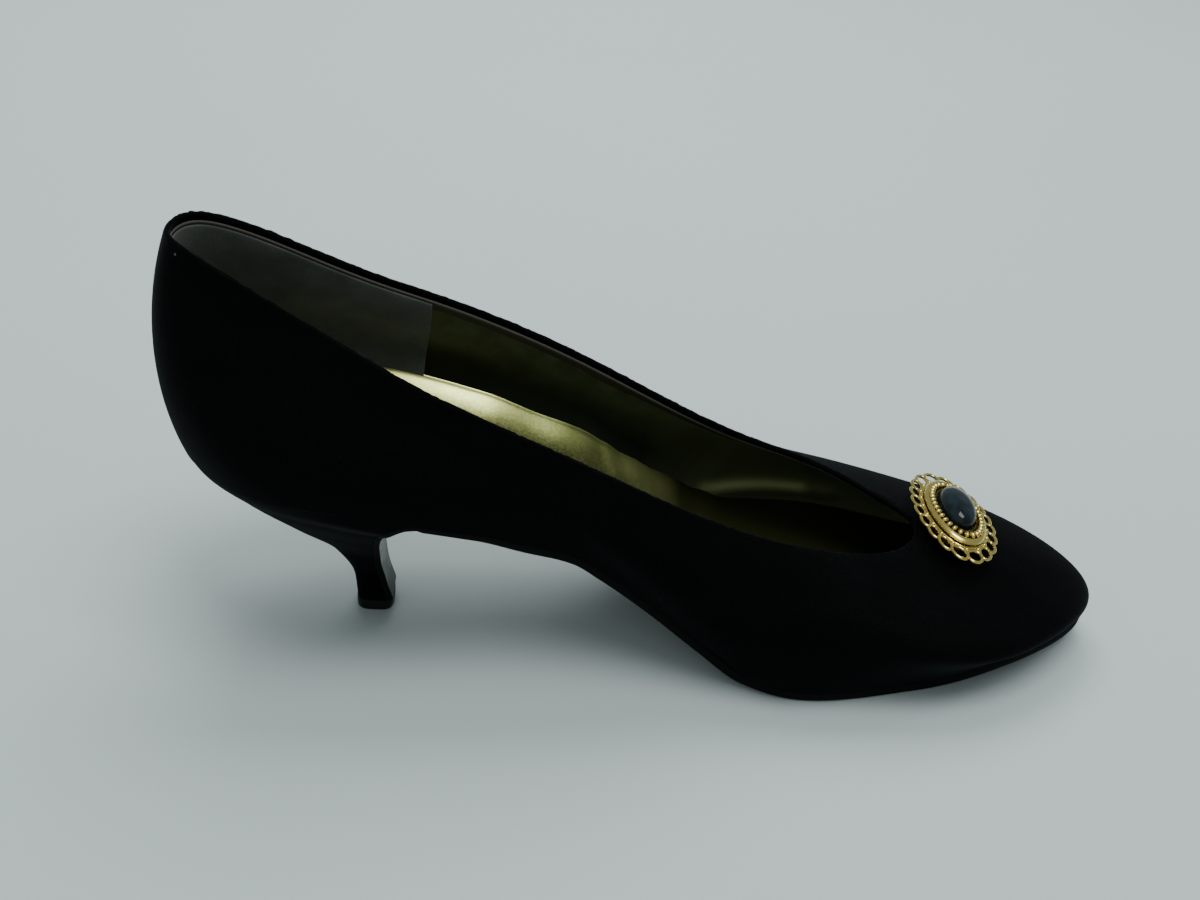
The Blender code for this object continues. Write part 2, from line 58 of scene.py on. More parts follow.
Pair = tuple[float, float]
Triple = tuple[float, float, float]
Table = tuple[tuple[float, ...], ...]
Material = bpy.types.Material
Socket = bpy.types.NodeSocket
Value = Union[Socket, float, Triple]
Key = Union[int, str]

LOG = logging.getLogger("pump")
BODY = "root"
MM = 0.001
GAP = 0.08
FULL_TURN = 2 * np.pi
UP = np.array([0.0, 0.0, 1.0])

# Ten sections of the last: heel back, heel corner, heel side, seat front, waist, joint, ball, vamp, toe side
# and toe tip. Places along are per cent of the feather's length, half widths per cent of the ball's width,
# the lift per cent of the seat's rise above the tread and the collar's height per cent of the back's height.
# Rib handles are in millimetres and degrees, and the insole is its edge's height above the feather.
SECTIONS = {
    "along": (0.0, 4.8, 14.2, 31.0, 45.0, 56.3, 66.5, 79.2, 90.0, 100.4),
    "lateral": (0.0, 25.9, 38.8, 36.7, 36.7, 46.3, 55.8, 49.7, 33.4, 2.7),
    "medial": (0.0, 25.9, 38.8, 34.7, 25.9, 34.3, 44.2, 37.2, 26.5, -2.7),
    "lift": (98.0, 100.0, 99.0, 84.3, 51.6, 14.6, 0.0, 0.0, 6.5, 10.6),
    "collar_along": (0.2, 3.1, 15.0, 27.3, 39.6, 49.8, 59.6, 69.0, 76.1, 79.1),
    "collar_lateral": (0.0, 13.6, 23.1, 31.3, 33.3, 32.7, 33.3, 27.2, 16.8, 1.6),
    "collar_medial": (0.0, 13.6, 23.1, 31.3, 33.3, 31.6, 26.4, 23.3, 12.5, -1.6),
    "collar_height": (100.0, 99.1, 86.5, 73.9, 62.2, 50.9, 40.1, 34.7, 30.2, 30.2),
    "rise": (24.0, 24.5, 23.0, 21.0, 19.0, 17.0, 16.0, 13.0, 9.2, 11.0),
    "flare": (19, 20, 18, 18, 24, 24, 21, 18, 18, 16),
    "run": (15.0, 19.5, 20.5, 19.0, 18.5, 18.5, 23.0, 33.5, 51.0, 51.0),
    "lean": (20, 12, 8, 7, 10, 21, 45, 64, 71, 74),
    "insole": (6.5, 6.5, 6.5, 7.0, 7.5, 7.5, 6.5, 5.5, 4.5, 4.0),
}
HANDLES = ("rise", "flare", "run", "lean", "insole")

# Further points of the bottom line, place along and lift: the shank runs straight and bends at the second
SHANK = ((36.5, 73.5), (42.0, 62.3), (50.5, 33.0), (61.0, 2.7))

# Levels of the heel: share of the way down, back, half width, power of the round back and tuck of the corners
HEEL_LEVELS = (
    (0.00, 10.2, 28.0, 1.00, 0.00),
    (0.08, 12.7, 27.6, 1.00, 0.03),
    (0.22, 20.5, 23.4, 0.95, 0.10),
    (0.42, 32.6, 15.8, 0.87, 0.10),
    (0.66, 46.7, 7.9, 0.80, 0.06),
    (0.86, 51.9, 5.2, 0.70, 0.06),
    (1.00, 52.6, 5.2, 0.65, 0.06),
)
SEAT_HALF = HEEL_LEVELS[0][2]


class Side(Enum):
    """The two sides of the foot, with the sign of y on each."""

    LATERAL = 1
    MEDIAL = -1


# Curves

def hermite(knots: Array, values: Array, slopes: Array, at: Array) -> tuple[Array, Array]:
    """Cubic pieces that join rows with given slopes.

    Args:
        knots: Places of the rows.
        values: Rows of values.
        slopes: Slope of each row.
        at: Places to read.

    Returns:
        Value and slope at each place, the cubic with those ends and slopes on its stretch.
    """
    index = np.clip(np.searchsorted(knots, at, side="right") - 1, 0, len(knots) - 2)
    step = (knots[index + 1] - knots[index])[:, None]
    t = (at - knots[index])[:, None] / step
    start, end = values[index], values[index + 1]
    leave, arrive = slopes[index] * step, slopes[index + 1] * step
    cubic = 2 * (start - end) + leave + arrive
    square = 3 * (end - start) - 2 * leave - arrive
    value = ((cubic * t + square) * t + leave) * t + start
    return value, ((3 * cubic * t + 2 * square) * t + leave) / step


def closed_spline(knots: Array, values: Array, at: Array) -> tuple[Array, Array]:
    """Closed curve of even curvature through rows whose last repeats the first.

    Args:
        knots: Places of the rows.
        values: Rows of values.
        at: Places to read.

    Returns:
        Value and slope at each place, slopes solved so that the bending is continuous.
    """
    step = np.diff(knots)
    before = np.roll(step, 1)
    rise = np.diff(values, axis=0) / step[:, None]
    row = np.arange(len(step))
    matrix = np.zeros((len(step), len(step)))
    matrix[row, row - 1] += step
    matrix[row, row] += 2 * (step + before)
    matrix[row, (row + 1) % len(step)] += before
    known = 3 * (step[:, None] * np.roll(rise, 1, axis=0) + before[:, None] * rise)
    slopes = np.linalg.solve(matrix, known)
    return hermite(knots, values, np.vstack([slopes, slopes[:1]]), at)


def monotone(knots: Array, values: Array, at: Array) -> tuple[Array, Array]:
    """Curve through rows that never passes beyond a row's own value.

    Args:
        knots: Places of the rows.
        values: Rows of values.
        at: Places to read.

    Returns:
        Value and slope at each place, slopes being the weighted harmonic mean of the neighbours.
    """
    step = np.diff(knots)[:, None]
    rise = np.diff(values, axis=0) / step
    turns = rise[:-1] * rise[1:] <= 0
    first, second = np.where(turns, 1, rise[:-1]), np.where(turns, 1, rise[1:])
    near, far = 2 * step[1:] + step[:-1], step[1:] + 2 * step[:-1]
    inner = np.where(turns, 0, (near + far) / (near / first + far / second))
    return hermite(knots, values, np.vstack([rise[:1], inner, rise[-1:]]), at)


def chords(rows: Array) -> Array:
    """Length along the chords of a line up to each row, by its first two columns."""
    return np.append(0, np.cumsum(np.hypot(*np.diff(rows[:, :2], axis=0).T)))


def read_path(rows: Array, count: int) -> tuple[Array, Array]:
    """Rounded path through the rows of a table: values and slopes at even steps of its chord length."""
    knots = chords(rows)
    return monotone(knots, rows, np.linspace(0, knots[-1], count))


def smooth_step(x: Array, low: float, high: float) -> Array:
    """Rises from 0 at low to 1 at high with level ends."""
    t = np.clip((x - low) / (high - low), 0, 1)
    return t * t * (3 - 2 * t)


def between(one: Array, two: Array, share: Array) -> Array:
    """Values a share of the way from one to two."""
    return one * (1 - share) + two * share


def unit(vectors: Array) -> Array:
    """Vectors of length one along the last axis."""
    return vectors / np.linalg.norm(vectors, axis=-1, keepdims=True)


def spatial(x: Array, y: Array, z: Array) -> Array:
    """Points with these coordinates, spread to one shape."""
    return np.stack(np.broadcast_arrays(x, y, z), axis=-1)


def relief_of(creases: Table, x: Array, y: Array) -> Array:
    """Height of soft troughs and ridges that run along straight lines.

    The relief of one is its depth times a bell curve of the distance from its line, of the given width. A
    negative depth is a trough.

    Args:
        creases: Rows of start x and y, end x and y, width and depth.
        x: First coordinate of the places.
        y: Second coordinate of the places.

    Returns:
        The sum of the reliefs at each place.
    """
    total = np.zeros_like(x)
    for *ends, width, depth in creases:
        start, end = np.reshape(ends, (2, 2))
        along = end - start
        from_start = np.stack([x, y], axis=-1) - start
        share = np.clip(from_start @ along / (along @ along), 0, 1)
        off = from_start - share[..., None] * along
        total += depth * np.exp(-np.sum(off**2, axis=-1) / width**2)
    return total


# The last

class Loops(NamedTuple):
    """Columns of the last: feather, its plan normals, collar, its plan normals and handles."""

    feather: Array
    feather_out: Array
    collar: Array
    collar_out: Array
    rise: Array
    flare: Array
    run: Array
    lean: Array
    insole: Array


@dataclass
class Last:
    """The form that the shoe is made over, read on a fine grid."""

    feather_start: float = 10.0
    feather_length: float = 240.0
    ball_width: float = 73.5
    seat_rise: float = 49.2
    back_height: float = 111.0
    tread_height: float = 3.3
    columns_per_section: int = 28
    columns_at_toe: int = 56
    collar_weight: float = 0.5
    outline_rows: int = 25

    def table(self, name: str) -> Array:
        """One column of the section table."""
        return np.array(SECTIONS[name], float)

    def sized(self, name: str, whole: float) -> Array:
        """A column of per cents as sizes of a whole."""
        return self.table(name) * whole / 100

    def profile(self, x: Array) -> tuple[Array, Array]:
        """Feather line, the bottom of the last seen from the side, led by the sections and the shank.

        Args:
            x: Places along the shoe.

        Returns:
            Height and slope at each place.
        """
        x = np.asarray(x, float)
        rows = np.vstack([np.stack([self.table("along"), self.table("lift")], axis=1), SHANK])
        along, lift = rows[np.argsort(rows[:, 0])].T / 100
        knots = self.feather_start + along * self.feather_length
        line = monotone(knots, (self.tread_height + lift * self.seat_rise)[:, None], x.ravel())
        return tuple(part.reshape(x.shape) for part in line)

    def side_rows(self, side: Side) -> Array:
        """Driving rows of one side.

        Args:
            side: The side of the foot.

        Returns:
            Feather x and y, collar x, y and z and the handle columns, heel to toe.
        """
        half = side.name.lower()
        places = (self.sized(name, self.feather_length) for name in ("along", "collar_along"))
        feather_x, collar_x = (self.feather_start + place for place in places)
        halves = (self.sized(name, self.ball_width) for name in (half, f"collar_{half}"))
        feather_y, collar_y = (side.value * width for width in halves)
        collar_z = self.sized("collar_height", self.back_height)
        handles = (self.table(name) for name in HANDLES)
        return np.stack([feather_x, feather_y, collar_x, collar_y, collar_z, *handles], axis=1)

    @cached_property
    def loops(self) -> Loops:
        """Closed splines through the rows, heel to toe on the lateral side and back on the medial one.

        Returns:
            The columns, more of them in the stretches at the toe.
        """
        rows = np.vstack([self.side_rows(Side.LATERAL), self.side_rows(Side.MEDIAL)[-2::-1]])
        moves = np.diff(rows, axis=0)
        lengths = np.hypot(*moves[:, :2].T) + self.collar_weight * np.hypot(*moves[:, 2:4].T)
        knots = np.append(0, np.cumsum(lengths))
        toe = len(SECTIONS["along"])
        counts = np.full(len(lengths), self.columns_per_section)
        counts[toe - 2 : toe] = self.columns_at_toe
        stretches = zip(knots[:-1], knots[1:], counts)
        at = np.concatenate([np.linspace(start, end, n, endpoint=False) for start, end, n in stretches])
        value, slope = closed_spline(knots, rows, at)
        feather = spatial(value[:, 0], value[:, 1], self.profile(value[:, 0])[0])
        feather_out, collar_out = (unit(spatial(-slope[:, k + 1], slope[:, k], 0.0)) for k in (0, 2))
        return Loops(feather, feather_out, value[:, 2:5], collar_out, *value[:, 5:].T)

    @property
    def count(self) -> int:
        """Columns round the shoe."""
        return len(self.loops.feather)

    @cached_property
    def pairs(self) -> tuple[Array, Array]:
        """Columns of the lateral side from heel to toe, and their partners on the medial side."""
        lateral = np.arange(self.count // 2 + 1)
        return lateral, -lateral % self.count

    def across(self, line: Array, shares: Array) -> Array:
        """Straight strips from the lateral to the medial side of a closed line, read at shares across."""
        lateral, medial = (line[columns][:, None] for columns in self.pairs)
        return between(lateral, medial, shares[:, None])

    def inset(self, distance: float) -> Array:
        """The feather line set in by a distance."""
        return self.loops.feather - self.loops.feather_out * distance

    def ribs(self, shares: Array) -> tuple[Array, Array]:
        """Outer face of the upper: cubic curves from the feather to the collar.

        Each has two handles: one rises from the feather, flared out, and one runs down from the collar,
        leant out.

        Args:
            shares: Places on the ribs from 0 to 1, the same for all columns or a row for each.

        Returns:
            Points and slopes, columns by places.
        """
        t = np.broadcast_to(shares, (self.count, np.shape(shares)[-1]))[..., None]
        feather, feather_out, collar, collar_out = (part[:, None] for part in self.loops[:4])
        rise, flare, run, lean = (part[:, None, None] for part in self.loops[4:8])
        flare, lean = np.radians(flare), np.radians(lean)
        low = feather + rise * (UP * np.cos(flare) + feather_out * np.sin(flare))
        high = collar + run * (collar_out * np.sin(lean) - UP * np.cos(lean))
        s = 1 - t
        points = s**3 * feather + 3 * s**2 * t * low + 3 * s * t**2 * high + t**3 * collar
        slopes = s**2 * (low - feather) + 2 * s * t * (high - low) + t**2 * (collar - high)
        return points, 3 * slopes

    def face(self, shares: Array) -> tuple[Array, Array, Array]:
        """Outer face with its directions.

        Args:
            shares: Places on the ribs.

        Returns:
            Points, outward normals and upward directions, columns by places.
        """
        points, slopes = self.ribs(shares)
        around = np.roll(points, -1, axis=0) - np.roll(points, 1, axis=0)
        return points, unit(np.cross(slopes, around)), unit(slopes)

    def wall(self, shares: Array, depth: Array) -> Array:
        """Points of the outer face moved in by a depth along the face's normal."""
        points, normals, _ = self.face(shares)
        return points - np.broadcast_to(depth, points.shape[:2])[..., None] * normals

    def below_top(self, distance: Array) -> Array:
        """Share of each rib that lies a distance below the collar, by the rib's speed at its end."""
        return 1 - np.asarray(distance, float) / (3 * self.loops.run[:, None])

    @cached_property
    def shift(self) -> Array:
        """Move from the last's frame to the row's.

        Returns:
            The way from the outline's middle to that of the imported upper, level.
        """
        outline = self.ribs(np.linspace(0, 1, self.outline_rows))[0].reshape(-1, 3)
        low, high = (np.array(corner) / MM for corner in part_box("upper"))
        move = (low + high) / 2 - (outline.min(axis=0) + outline.max(axis=0)) / 2
        return move * (1 - UP)

    def place(self, points: Array) -> Array:
        """Points of the last in metres in the row's frame."""
        return (np.asarray(points, float) + self.shift) * MM


LAST = Last()


# Meshes

class Sheet(NamedTuple):
    """A grid of points, or a stack of such grids, with a UV place for each point where a finish needs it."""

    points: Array
    uv: Optional[Array] = None


def marked(points: Array, mark: Array, second: Array = 0.0) -> Sheet:
    """Sheet whose UV map carries a mark for its finish in Y, and a second one in X."""
    marks = np.broadcast_arrays(second, mark, points[..., 0])[:2]
    return Sheet(points, np.stack(marks, axis=-1))


def closed(grid: Array) -> Array:
    """Grid whose first row is repeated at its end."""
    return np.concatenate([grid, grid[:1]])


def quads(shape: tuple[int, ...]) -> Array:
    """Quads of a grid, or of a stack of grids, stored row by row.

    Args:
        shape: Shape of the points, ending in rows, columns and 3.

    Returns:
        Four corner indices for each quad.
    """
    rows, columns = shape[-3:-1]
    cell = (np.arange(rows - 1)[:, None] * columns + np.arange(columns - 1)).ravel()
    one = np.stack([cell, cell + 1, cell + columns + 1, cell + columns], axis=1)
    stack = np.arange(int(np.prod(shape[:-3]))) * rows * columns
    return (one + stack[:, None, None]).reshape(-1, 4)


def slab(layers: Sequence[Array]) -> list[Sheet]:
    """Closed solid between the first and last of some like grids, its rim through all of them and marked."""
    edges = [np.concatenate([g[0], g[1:, -1], g[-1, -2::-1], g[-2::-1, 0]]) for g in layers]
    return [marked(layers[0], 0.0), marked(layers[-1], 0.0), marked(np.stack(edges), 1.0, 1.0)]


def add_object(name: str, data: bpy.types.ID) -> bpy.types.Object:
    """Puts data into the scene.

    Args:
        name: Name of the object.
        data: Its mesh, light or camera.

    Returns:
        The new object, at the origin.
    """
    thing = bpy.data.objects.new(name, data)
    bpy.context.scene.collection.objects.link(thing)
    return thing


def add_piece(name: str, sheets: Sequence[Sheet], finish: Material, node: str = "",
              sharp: float = 40.0, weld: float = 0.002) -> None:
    """Makes a piece of the shoe from sheets in the last's frame, welded and turned outwards.

    Args:
        name: Name of the piece.
        sheets: Grids of points.
        finish: Material of the piece.
        node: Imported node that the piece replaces, if any.
        sharp: Angle in degrees above which an edge stays sharp.
        weld: Distance below which points are joined.
    """
    flat = [sheet.points.reshape(-1, 3) for sheet in sheets]
    starts = np.cumsum([0] + [len(points) for points in flat[:-1]])
    faces = np.vstack([quads(sheet.points.shape) + start for sheet, start in zip(sheets, starts)])
    points = LAST.place(np.vstack(flat)).astype(np.float32)
    mesh = bpy.data.meshes.new(name)
    mesh.from_pydata(points.tolist(), [], faces.tolist())
    if all(sheet.uv is not None for sheet in sheets):
        places = np.vstack([sheet.uv.reshape(-1, 2) for sheet in sheets])
        layer = mesh.uv_layers.new(name="surface")
        layer.data.foreach_set("uv", places[faces.ravel()].astype(np.float32).ravel())
    work = bmesh.new()
    work.from_mesh(mesh)
    bmesh.ops.remove_doubles(work, verts=work.verts, dist=weld * MM)
    bmesh.ops.recalc_face_normals(work, faces=work.faces)
    work.to_mesh(mesh)
    work.free()
    mesh.shade_smooth()
    mesh.set_sharp_from_angle(angle=math.radians(sharp))
    mesh.materials.append(finish)
    piece = add_object(name, mesh)
    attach(piece, BODY)
    if node:
        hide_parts(node)
    LOG.info("%s: %d faces", piece.name, len(piece.data.polygons))


# Finishes

UNIT = (0.0, 1.0)
FADE = (1.0, 0.0)
MIDDLE = (0.3, 0.7)
NARROW = (0.35, 0.65)


class Shade:
    """Node tree of one finish, with short methods for the nodes that the finishes share."""

    def __init__(self, name: str, **values: Value) -> None:
        """Makes the material and sets constant values on the shader's own sockets.

        Args:
            name: Name of the material.
            values: Socket names, with underscores for spaces, and their values.
        """
        self.material = bpy.data.materials.new(name)
        self.material.use_nodes = True
        self.tree = self.material.node_tree
        self.shader = self.tree.nodes["Principled BSDF"]
        self.coordinates = self.tree.nodes.new("ShaderNodeTexCoord").outputs
        self.feed(**values)

    def feed(self, **values: Value) -> Material:
        """Sets or links the shader's sockets.

        Args:
            values: Socket names, with underscores for spaces, and their values.

        Returns:
            The material.
        """
        for name, value in values.items():
            self.put(self.shader.inputs[name.replace("_", " ")], value)
        return self.material

    def put(self, socket: Socket, value: Value) -> None:
        """Links an output to a socket, or sets the socket's own value.

        Args:
            socket: The socket.
            value: An output, a number, a place or a colour, which is made opaque.
        """
        if isinstance(value, Socket):
            self.tree.links.new(value, socket)
        else:
            socket.default_value = (*value, 1.0) if socket.type == "RGBA" else value

    def node(self, kind: str, output: Key, sockets: dict[Key, Value], **settings: str) -> Socket:
        """Adds a node.

        Args:
            kind: Its kind.
            output: Name or number of the output to give.
            sockets: Names or numbers of inputs and their values.
            settings: Its other settings.

        Returns:
            The output.
        """
        node = self.tree.nodes.new(f"ShaderNode{kind}")
        for name, setting in settings.items():
            setattr(node, name, setting)
        for key, value in sockets.items():
            self.put(node.inputs[key], value)
        return node.outputs[output]

    def stretched(self, scale: Triple) -> Socket:
        """Object coordinates scaled along each axis."""
        return self.node("Mapping", "Vector", {"Vector": self.coordinates["Object"], "Scale": scale})

    def noise(self, size: float, detail: float, vector: Optional[Socket] = None) -> Socket:
        """Noise from 0 to 1 whose grains are about a size in millimetres across."""
        sockets = {"Vector": vector or self.coordinates["Object"], "Scale": 1 / (size * MM), "Detail": detail}
        return self.node("TexNoise", "Fac", sockets)

    def cells(self, size: float) -> Socket:
        """Distance to the nearest seed of a cell pattern with cells of a size in millimetres."""
        sockets = {"Vector": self.coordinates["Object"], "Scale": 1 / (size * MM)}
        return self.node("TexVoronoi", "Distance", sockets)

    def axis(self, name: str, source: str = "Object") -> Socket:
        """One axis of the object coordinates, or of the piece's own UV map where the source says UV."""
        return self.node("SeparateXYZ", name, {"Vector": self.coordinates[source]})

    def span(self, value: Socket, stretch: Pair, ends: Pair = UNIT) -> Socket:
        """Value moved from a stretch onto two ends, and held there beyond them."""
        limits = dict(zip(("From Min", "From Max", "To Min", "To Max"), (*stretch, *ends)))
        return self.node("MapRange", "Result", {"Value": value, **limits})

    def along(self, stretch: Pair) -> Socket:
        """Share that rises from 0 to 1 over a stretch along the shoe."""
        return self.span(self.axis("X"), tuple(float(LAST.place((x, 0.0, 0.0))[0]) for x in stretch))

    def mix(self, share: Socket, one: Value, two: Value) -> Socket:
        """Colour between two, each a colour or an output."""
        return self.node("Mix", 2, {"Factor": share, 6: one, 7: two}, data_type="RGBA")

    def math(self, operation: str, one: Value, two: Value) -> Socket:
        """A sum, product or other operation on two numbers or outputs."""
        return self.node("Math", "Value", {0: one, 1: two}, operation=operation)

    def near(self, place: Triple, reach: float) -> Socket:
        """One within half a reach of a place of the last, falling to nought at the reach."""
        ends = {0: self.coordinates["Object"], 1: tuple(LAST.place(place))}
        return self.span(self.node("VectorMath", "Value", ends, operation="DISTANCE"),
                         (0.5 * reach * MM, reach * MM), FADE)

    def bump(self, height: Socket, depth: float, strength: float, under: Optional[Socket] = None) -> Socket:
        """Relief of a depth in millimetres, laid over another relief where one is given."""
        sockets = {"Height": height, "Distance": depth * MM, "Strength": strength}
        return self.node("Bump", "Normal", sockets if under is None else {**sockets, "Normal": under})


@dataclass(frozen=True)
class Velvet:
    """Black cut pile: almost no light from the front, a cool bloom along the edges, brushed patches."""

    deep: Triple = (0.0008, 0.0008, 0.0009)
    bloom: Triple = (0.0030, 0.0031, 0.0035)
    lint: Triple = (0.10, 0.10, 0.10)
    lint_places: tuple[Triple, ...] = ((149.5, -35.0, 28.8), (14.2, -8.8, 108.5))
    lint_reach: float = 0.45
    pile: float = 0.35
    pile_range: Pair = (0.3, 0.75)
    brushed: float = 9.0
    brushed_stretch: Triple = (0.4, 1.0, 1.0)
    sheen_tint: Triple = (0.62, 0.72, 0.80)

    def material(self) -> Material:
        """Pile grains in bump and colour, brushed patches, and a few specks of lint.

        Returns:
            The finish.
        """
        shade = Shade("black_velvet", Roughness=0.92, Specular_IOR_Level=0.03, Sheen_Weight=0.045,
                      Sheen_Roughness=0.35, Sheen_Tint=self.sheen_tint)
        grains = shade.noise(self.pile, 2.0)
        patches = shade.noise(self.brushed, 4.0, shade.stretched(self.brushed_stretch))
        lay = shade.span(patches, MIDDLE, (0.35, 1.0))
        nap = shade.math("MULTIPLY", shade.span(grains, self.pile_range), lay)
        colour = shade.mix(nap, self.deep, self.bloom)
        for place in self.lint_places:
            colour = shade.mix(shade.near(place, self.lint_reach), colour, self.lint)
        relief = shade.bump(grains, 0.25, 0.55, shade.bump(patches, 0.35, 0.4))
        return shade.feed(Base_Color=colour, Normal=relief)


@dataclass(frozen=True)
class GoldLeather:
    """Thin leather with a rubbed metallic gold face, worn and given painted light and shade as its piece is.
    """

    name: str
    dull: Triple
    bright: Triple
    metallic: float
    roughness: Pair
    # Darkening factor of the dull gold: painted shade, and on the sock also worn leather
    worn: float
    grain: float = 0.55
    grain_depth: float = 0.06
    rubbed: float = 6.0
    flex: float = 1.6
    flex_stretch: Triple = (1.0, 0.16, 0.5)
    flex_range: Pair = (0.55, 0.75)
    flex_depth: float = 0.12

    @property
    def worn_shade_colour(self) -> Triple:
        """The dull gold darkened: painted shade, and on the sock also worn leather."""
        return tuple(self.worn * part for part in self.dull)

    def wear_and_painted_light(self, shade: Shade, colour: Socket) -> Socket:
        """The colour with the piece's painted light and shade and its worn marks."""
        raise NotImplementedError

    def material(self) -> Material:
        """Leather grain, rubbed patches in colour and gloss, and fine flex lines across the foot.

        Returns:
            The finish.
        """
        shade = Shade(self.name, Metallic=self.metallic, Specular_IOR_Level=0.2)
        rubbed = shade.noise(self.rubbed, 5.0)
        flex = shade.noise(self.flex, 3.0, shade.stretched(self.flex_stretch))
        colour = shade.mix(shade.span(rubbed, NARROW), self.dull, self.bright)
        colour = shade.mix(shade.span(flex, self.flex_range, (0.0, 0.30)), colour, self.dull)
        folds = shade.bump(flex, self.flex_depth, 0.15)
        relief = shade.bump(shade.cells(self.grain), self.grain_depth, 0.15, folds)
        gloss = shade.span(rubbed, MIDDLE, self.roughness)
        return shade.feed(Base_Color=self.wear_and_painted_light(shade, colour), Roughness=gloss, Normal=relief)


@dataclass(frozen=True)
class GoldSock(GoldLeather):
    """Leather of the sock: paler at the seat as a painted highlight, darker along its middle and towards the
    tread as painted shade and worn leather.
    """

    name: str = "gold_sock"
    dull: Triple = (0.455, 0.49, 0.16)
    bright: Triple = (0.55, 0.59, 0.21)
    metallic: float = 0.94
    roughness: Pair = (0.33, 0.39)
    # Factor for the dark front: painted shade under the vamp, also worn leather
    worn: float = 0.05
    # Paler gold over the seat: a painted highlight where the lamp's reflection falls
    seat: Triple = (0.93, 0.95, 0.36)
    seat_highlight_stretch: Pair = (76.0, 102.0)
    # Stretch where the sock darkens towards the tread: painted shade under the vamp, also worn leather
    worn_shade_stretch: Pair = (112.0, 140.0)
    worn_shade_metallic: float = 0.35
    # Darker, less metallic middle: painted shade of the dish, also worn by the foot
    trodden_shade: Triple = (0.066, 0.075, 0.022)
    trodden_shade_metallic: float = 0.8
    trodden_shade_middle: float = 1.5
    trodden_shade_reach: Pair = (16.0, 27.0)
    specks: float = 0.8

    def wear_and_painted_light(self, shade: Shade, colour: Socket) -> Socket:
        """Painted highlight at the seat, and painted shade with worn leather along the middle and at the
        front, which are also less metallic.

        Args:
            shade: The finish's nodes.
            colour: Colour of the leather.

        Returns:
            The colour with its painted highlight, painted shade and worn leather.
        """
        # Painted highlight: paler gold over the seat
        colour = shade.mix(shade.along(self.seat_highlight_stretch), self.seat, colour)
        # Painted shade, also worn by the foot: darker and less metallic along the middle, broken by specks
        middle = float(LAST.place((0.0, self.trodden_shade_middle, 0.0))[1])
        aside = shade.math("ABSOLUTE", shade.math("SUBTRACT", shade.axis("Y"), middle), 0.0)
        aside = shade.span(aside, tuple(reach * MM for reach in self.trodden_shade_reach), FADE)
        specks = shade.span(shade.noise(self.specks, 4.0), NARROW, (0.6, 1.0))
        trodden_shade = shade.math("MULTIPLY", aside, specks)
        # Painted shade under the vamp, also worn leather: darker and less metallic towards the tread
        forward = shade.along(self.worn_shade_stretch)
        losses = (trodden_shade, self.trodden_shade_metallic), (forward, self.worn_shade_metallic)
        metals = (shade.span(share, UNIT, (self.metallic, metal)) for share, metal in losses)
        shade.feed(Metallic=shade.math("MINIMUM", *metals))
        return shade.mix(forward, shade.mix(trodden_shade, colour, self.trodden_shade), self.worn_shade_colour)


@dataclass(frozen=True)
class GoldLining(GoldLeather):
    """Leather of the lining: the sock's gold set far darker as painted shade, more so low down and at the
    back, with painted light, grey, in front and a painted highlight on its fold.
    """

    name: str = "gold_lining"
    # The sock's gold set far darker: painted shade
    dull: Triple = (0.044, 0.055, 0.034)
    bright: Triple = (0.077, 0.094, 0.057)
    metallic: float = 0.5
    roughness: Pair = (0.34, 0.44)
    # Darker low on the wall: painted shade
    worn: float = 0.4
    worn_range: Pair = (0.35, 1.0)
    # Bright gold along the fold above the sock: a painted highlight
    fold: Triple = (0.40, 0.44, 0.19)
    shaded_back: float = 0.75
    shaded_stretch: Pair = (78.0, 125.0)
    # Greyer, lighter front of the lining: painted light
    front: Triple = (0.12, 0.14, 0.07)
    front_light_stretch: Pair = (128.0, 152.0)

    def wear_and_painted_light(self, shade: Shade, colour: Socket) -> Socket:
        """Painted shade low down by the share of the way up in the UV map's X and at the back, painted light
        in front, and a painted highlight by the mark in its Y.

        Args:
            shade: The finish's nodes.
            colour: Colour of the leather.

        Returns:
            The colour with its painted light and shade.
        """
        # Painted shade, darker low on the wall
        colour = shade.mix(shade.span(shade.axis("X", "UV"), self.worn_range), self.worn_shade_colour, colour)
        lit = shade.span(shade.along(self.shaded_stretch), UNIT, (self.shaded_back, 1.0))
        colour = shade.mix(lit, (0.0, 0.0, 0.0), colour)
        # Painted light towards the front
        colour = shade.mix(shade.along(self.front_light_stretch), colour, self.front)
        # Painted highlight along the fold
        return shade.mix(shade.axis("Y", "UV"), colour, self.fold)


@dataclass(frozen=True)
class Suede:
    """Grey-brown heel grip with a short dull nap."""

    deep: Triple = (0.033, 0.038, 0.036)
    light: Triple = (0.076, 0.087, 0.081)
    nap: float = 0.5
    rubbed: float = 11.0

    def material(self) -> Material:
        """Nap grains over rubbed patches.

        Returns:
            The finish.
        """
        shade = Shade("grey_suede", Roughness=0.82, Specular_IOR_Level=0.2, Sheen_Weight=0.15)
        grains = shade.noise(self.nap, 4.0)
        patches = shade.span(shade.noise(self.rubbed, 3.0), MIDDLE)
        share = shade.math("MULTIPLY", shade.span(grains, MIDDLE, (0.5, 1.0)), patches)
        colour = shade.mix(share, self.deep, self.light)
        return shade.feed(Base_Color=colour, Normal=shade.bump(grains, 0.12, 0.5))


@dataclass(frozen=True)
class Tape:
    """Narrow topline tape: brown-grey weave with a pale folded edge at its top."""

    edge: Triple = (0.060, 0.057, 0.048)
    weave: Triple = (0.022, 0.020, 0.013)
    edge_width: float = 0.9
    edge_fade: float = 1.3
    thread: float = 0.4

    def material(self) -> Material:
        """Colour by the distance below the top edge, which is the UV map's Y in millimetres.

        Returns:
            The finish.
        """
        shade = Shade("topline_tape", Roughness=0.7, Specular_IOR_Level=0.25)
        down = shade.span(shade.axis("Y", "UV"), (self.edge_width, self.edge_fade * self.edge_width))
        relief = shade.bump(shade.noise(self.thread, 2.0), 0.1, 0.5)
        return shade.feed(Base_Color=shade.mix(down, self.edge, self.weave), Normal=relief)


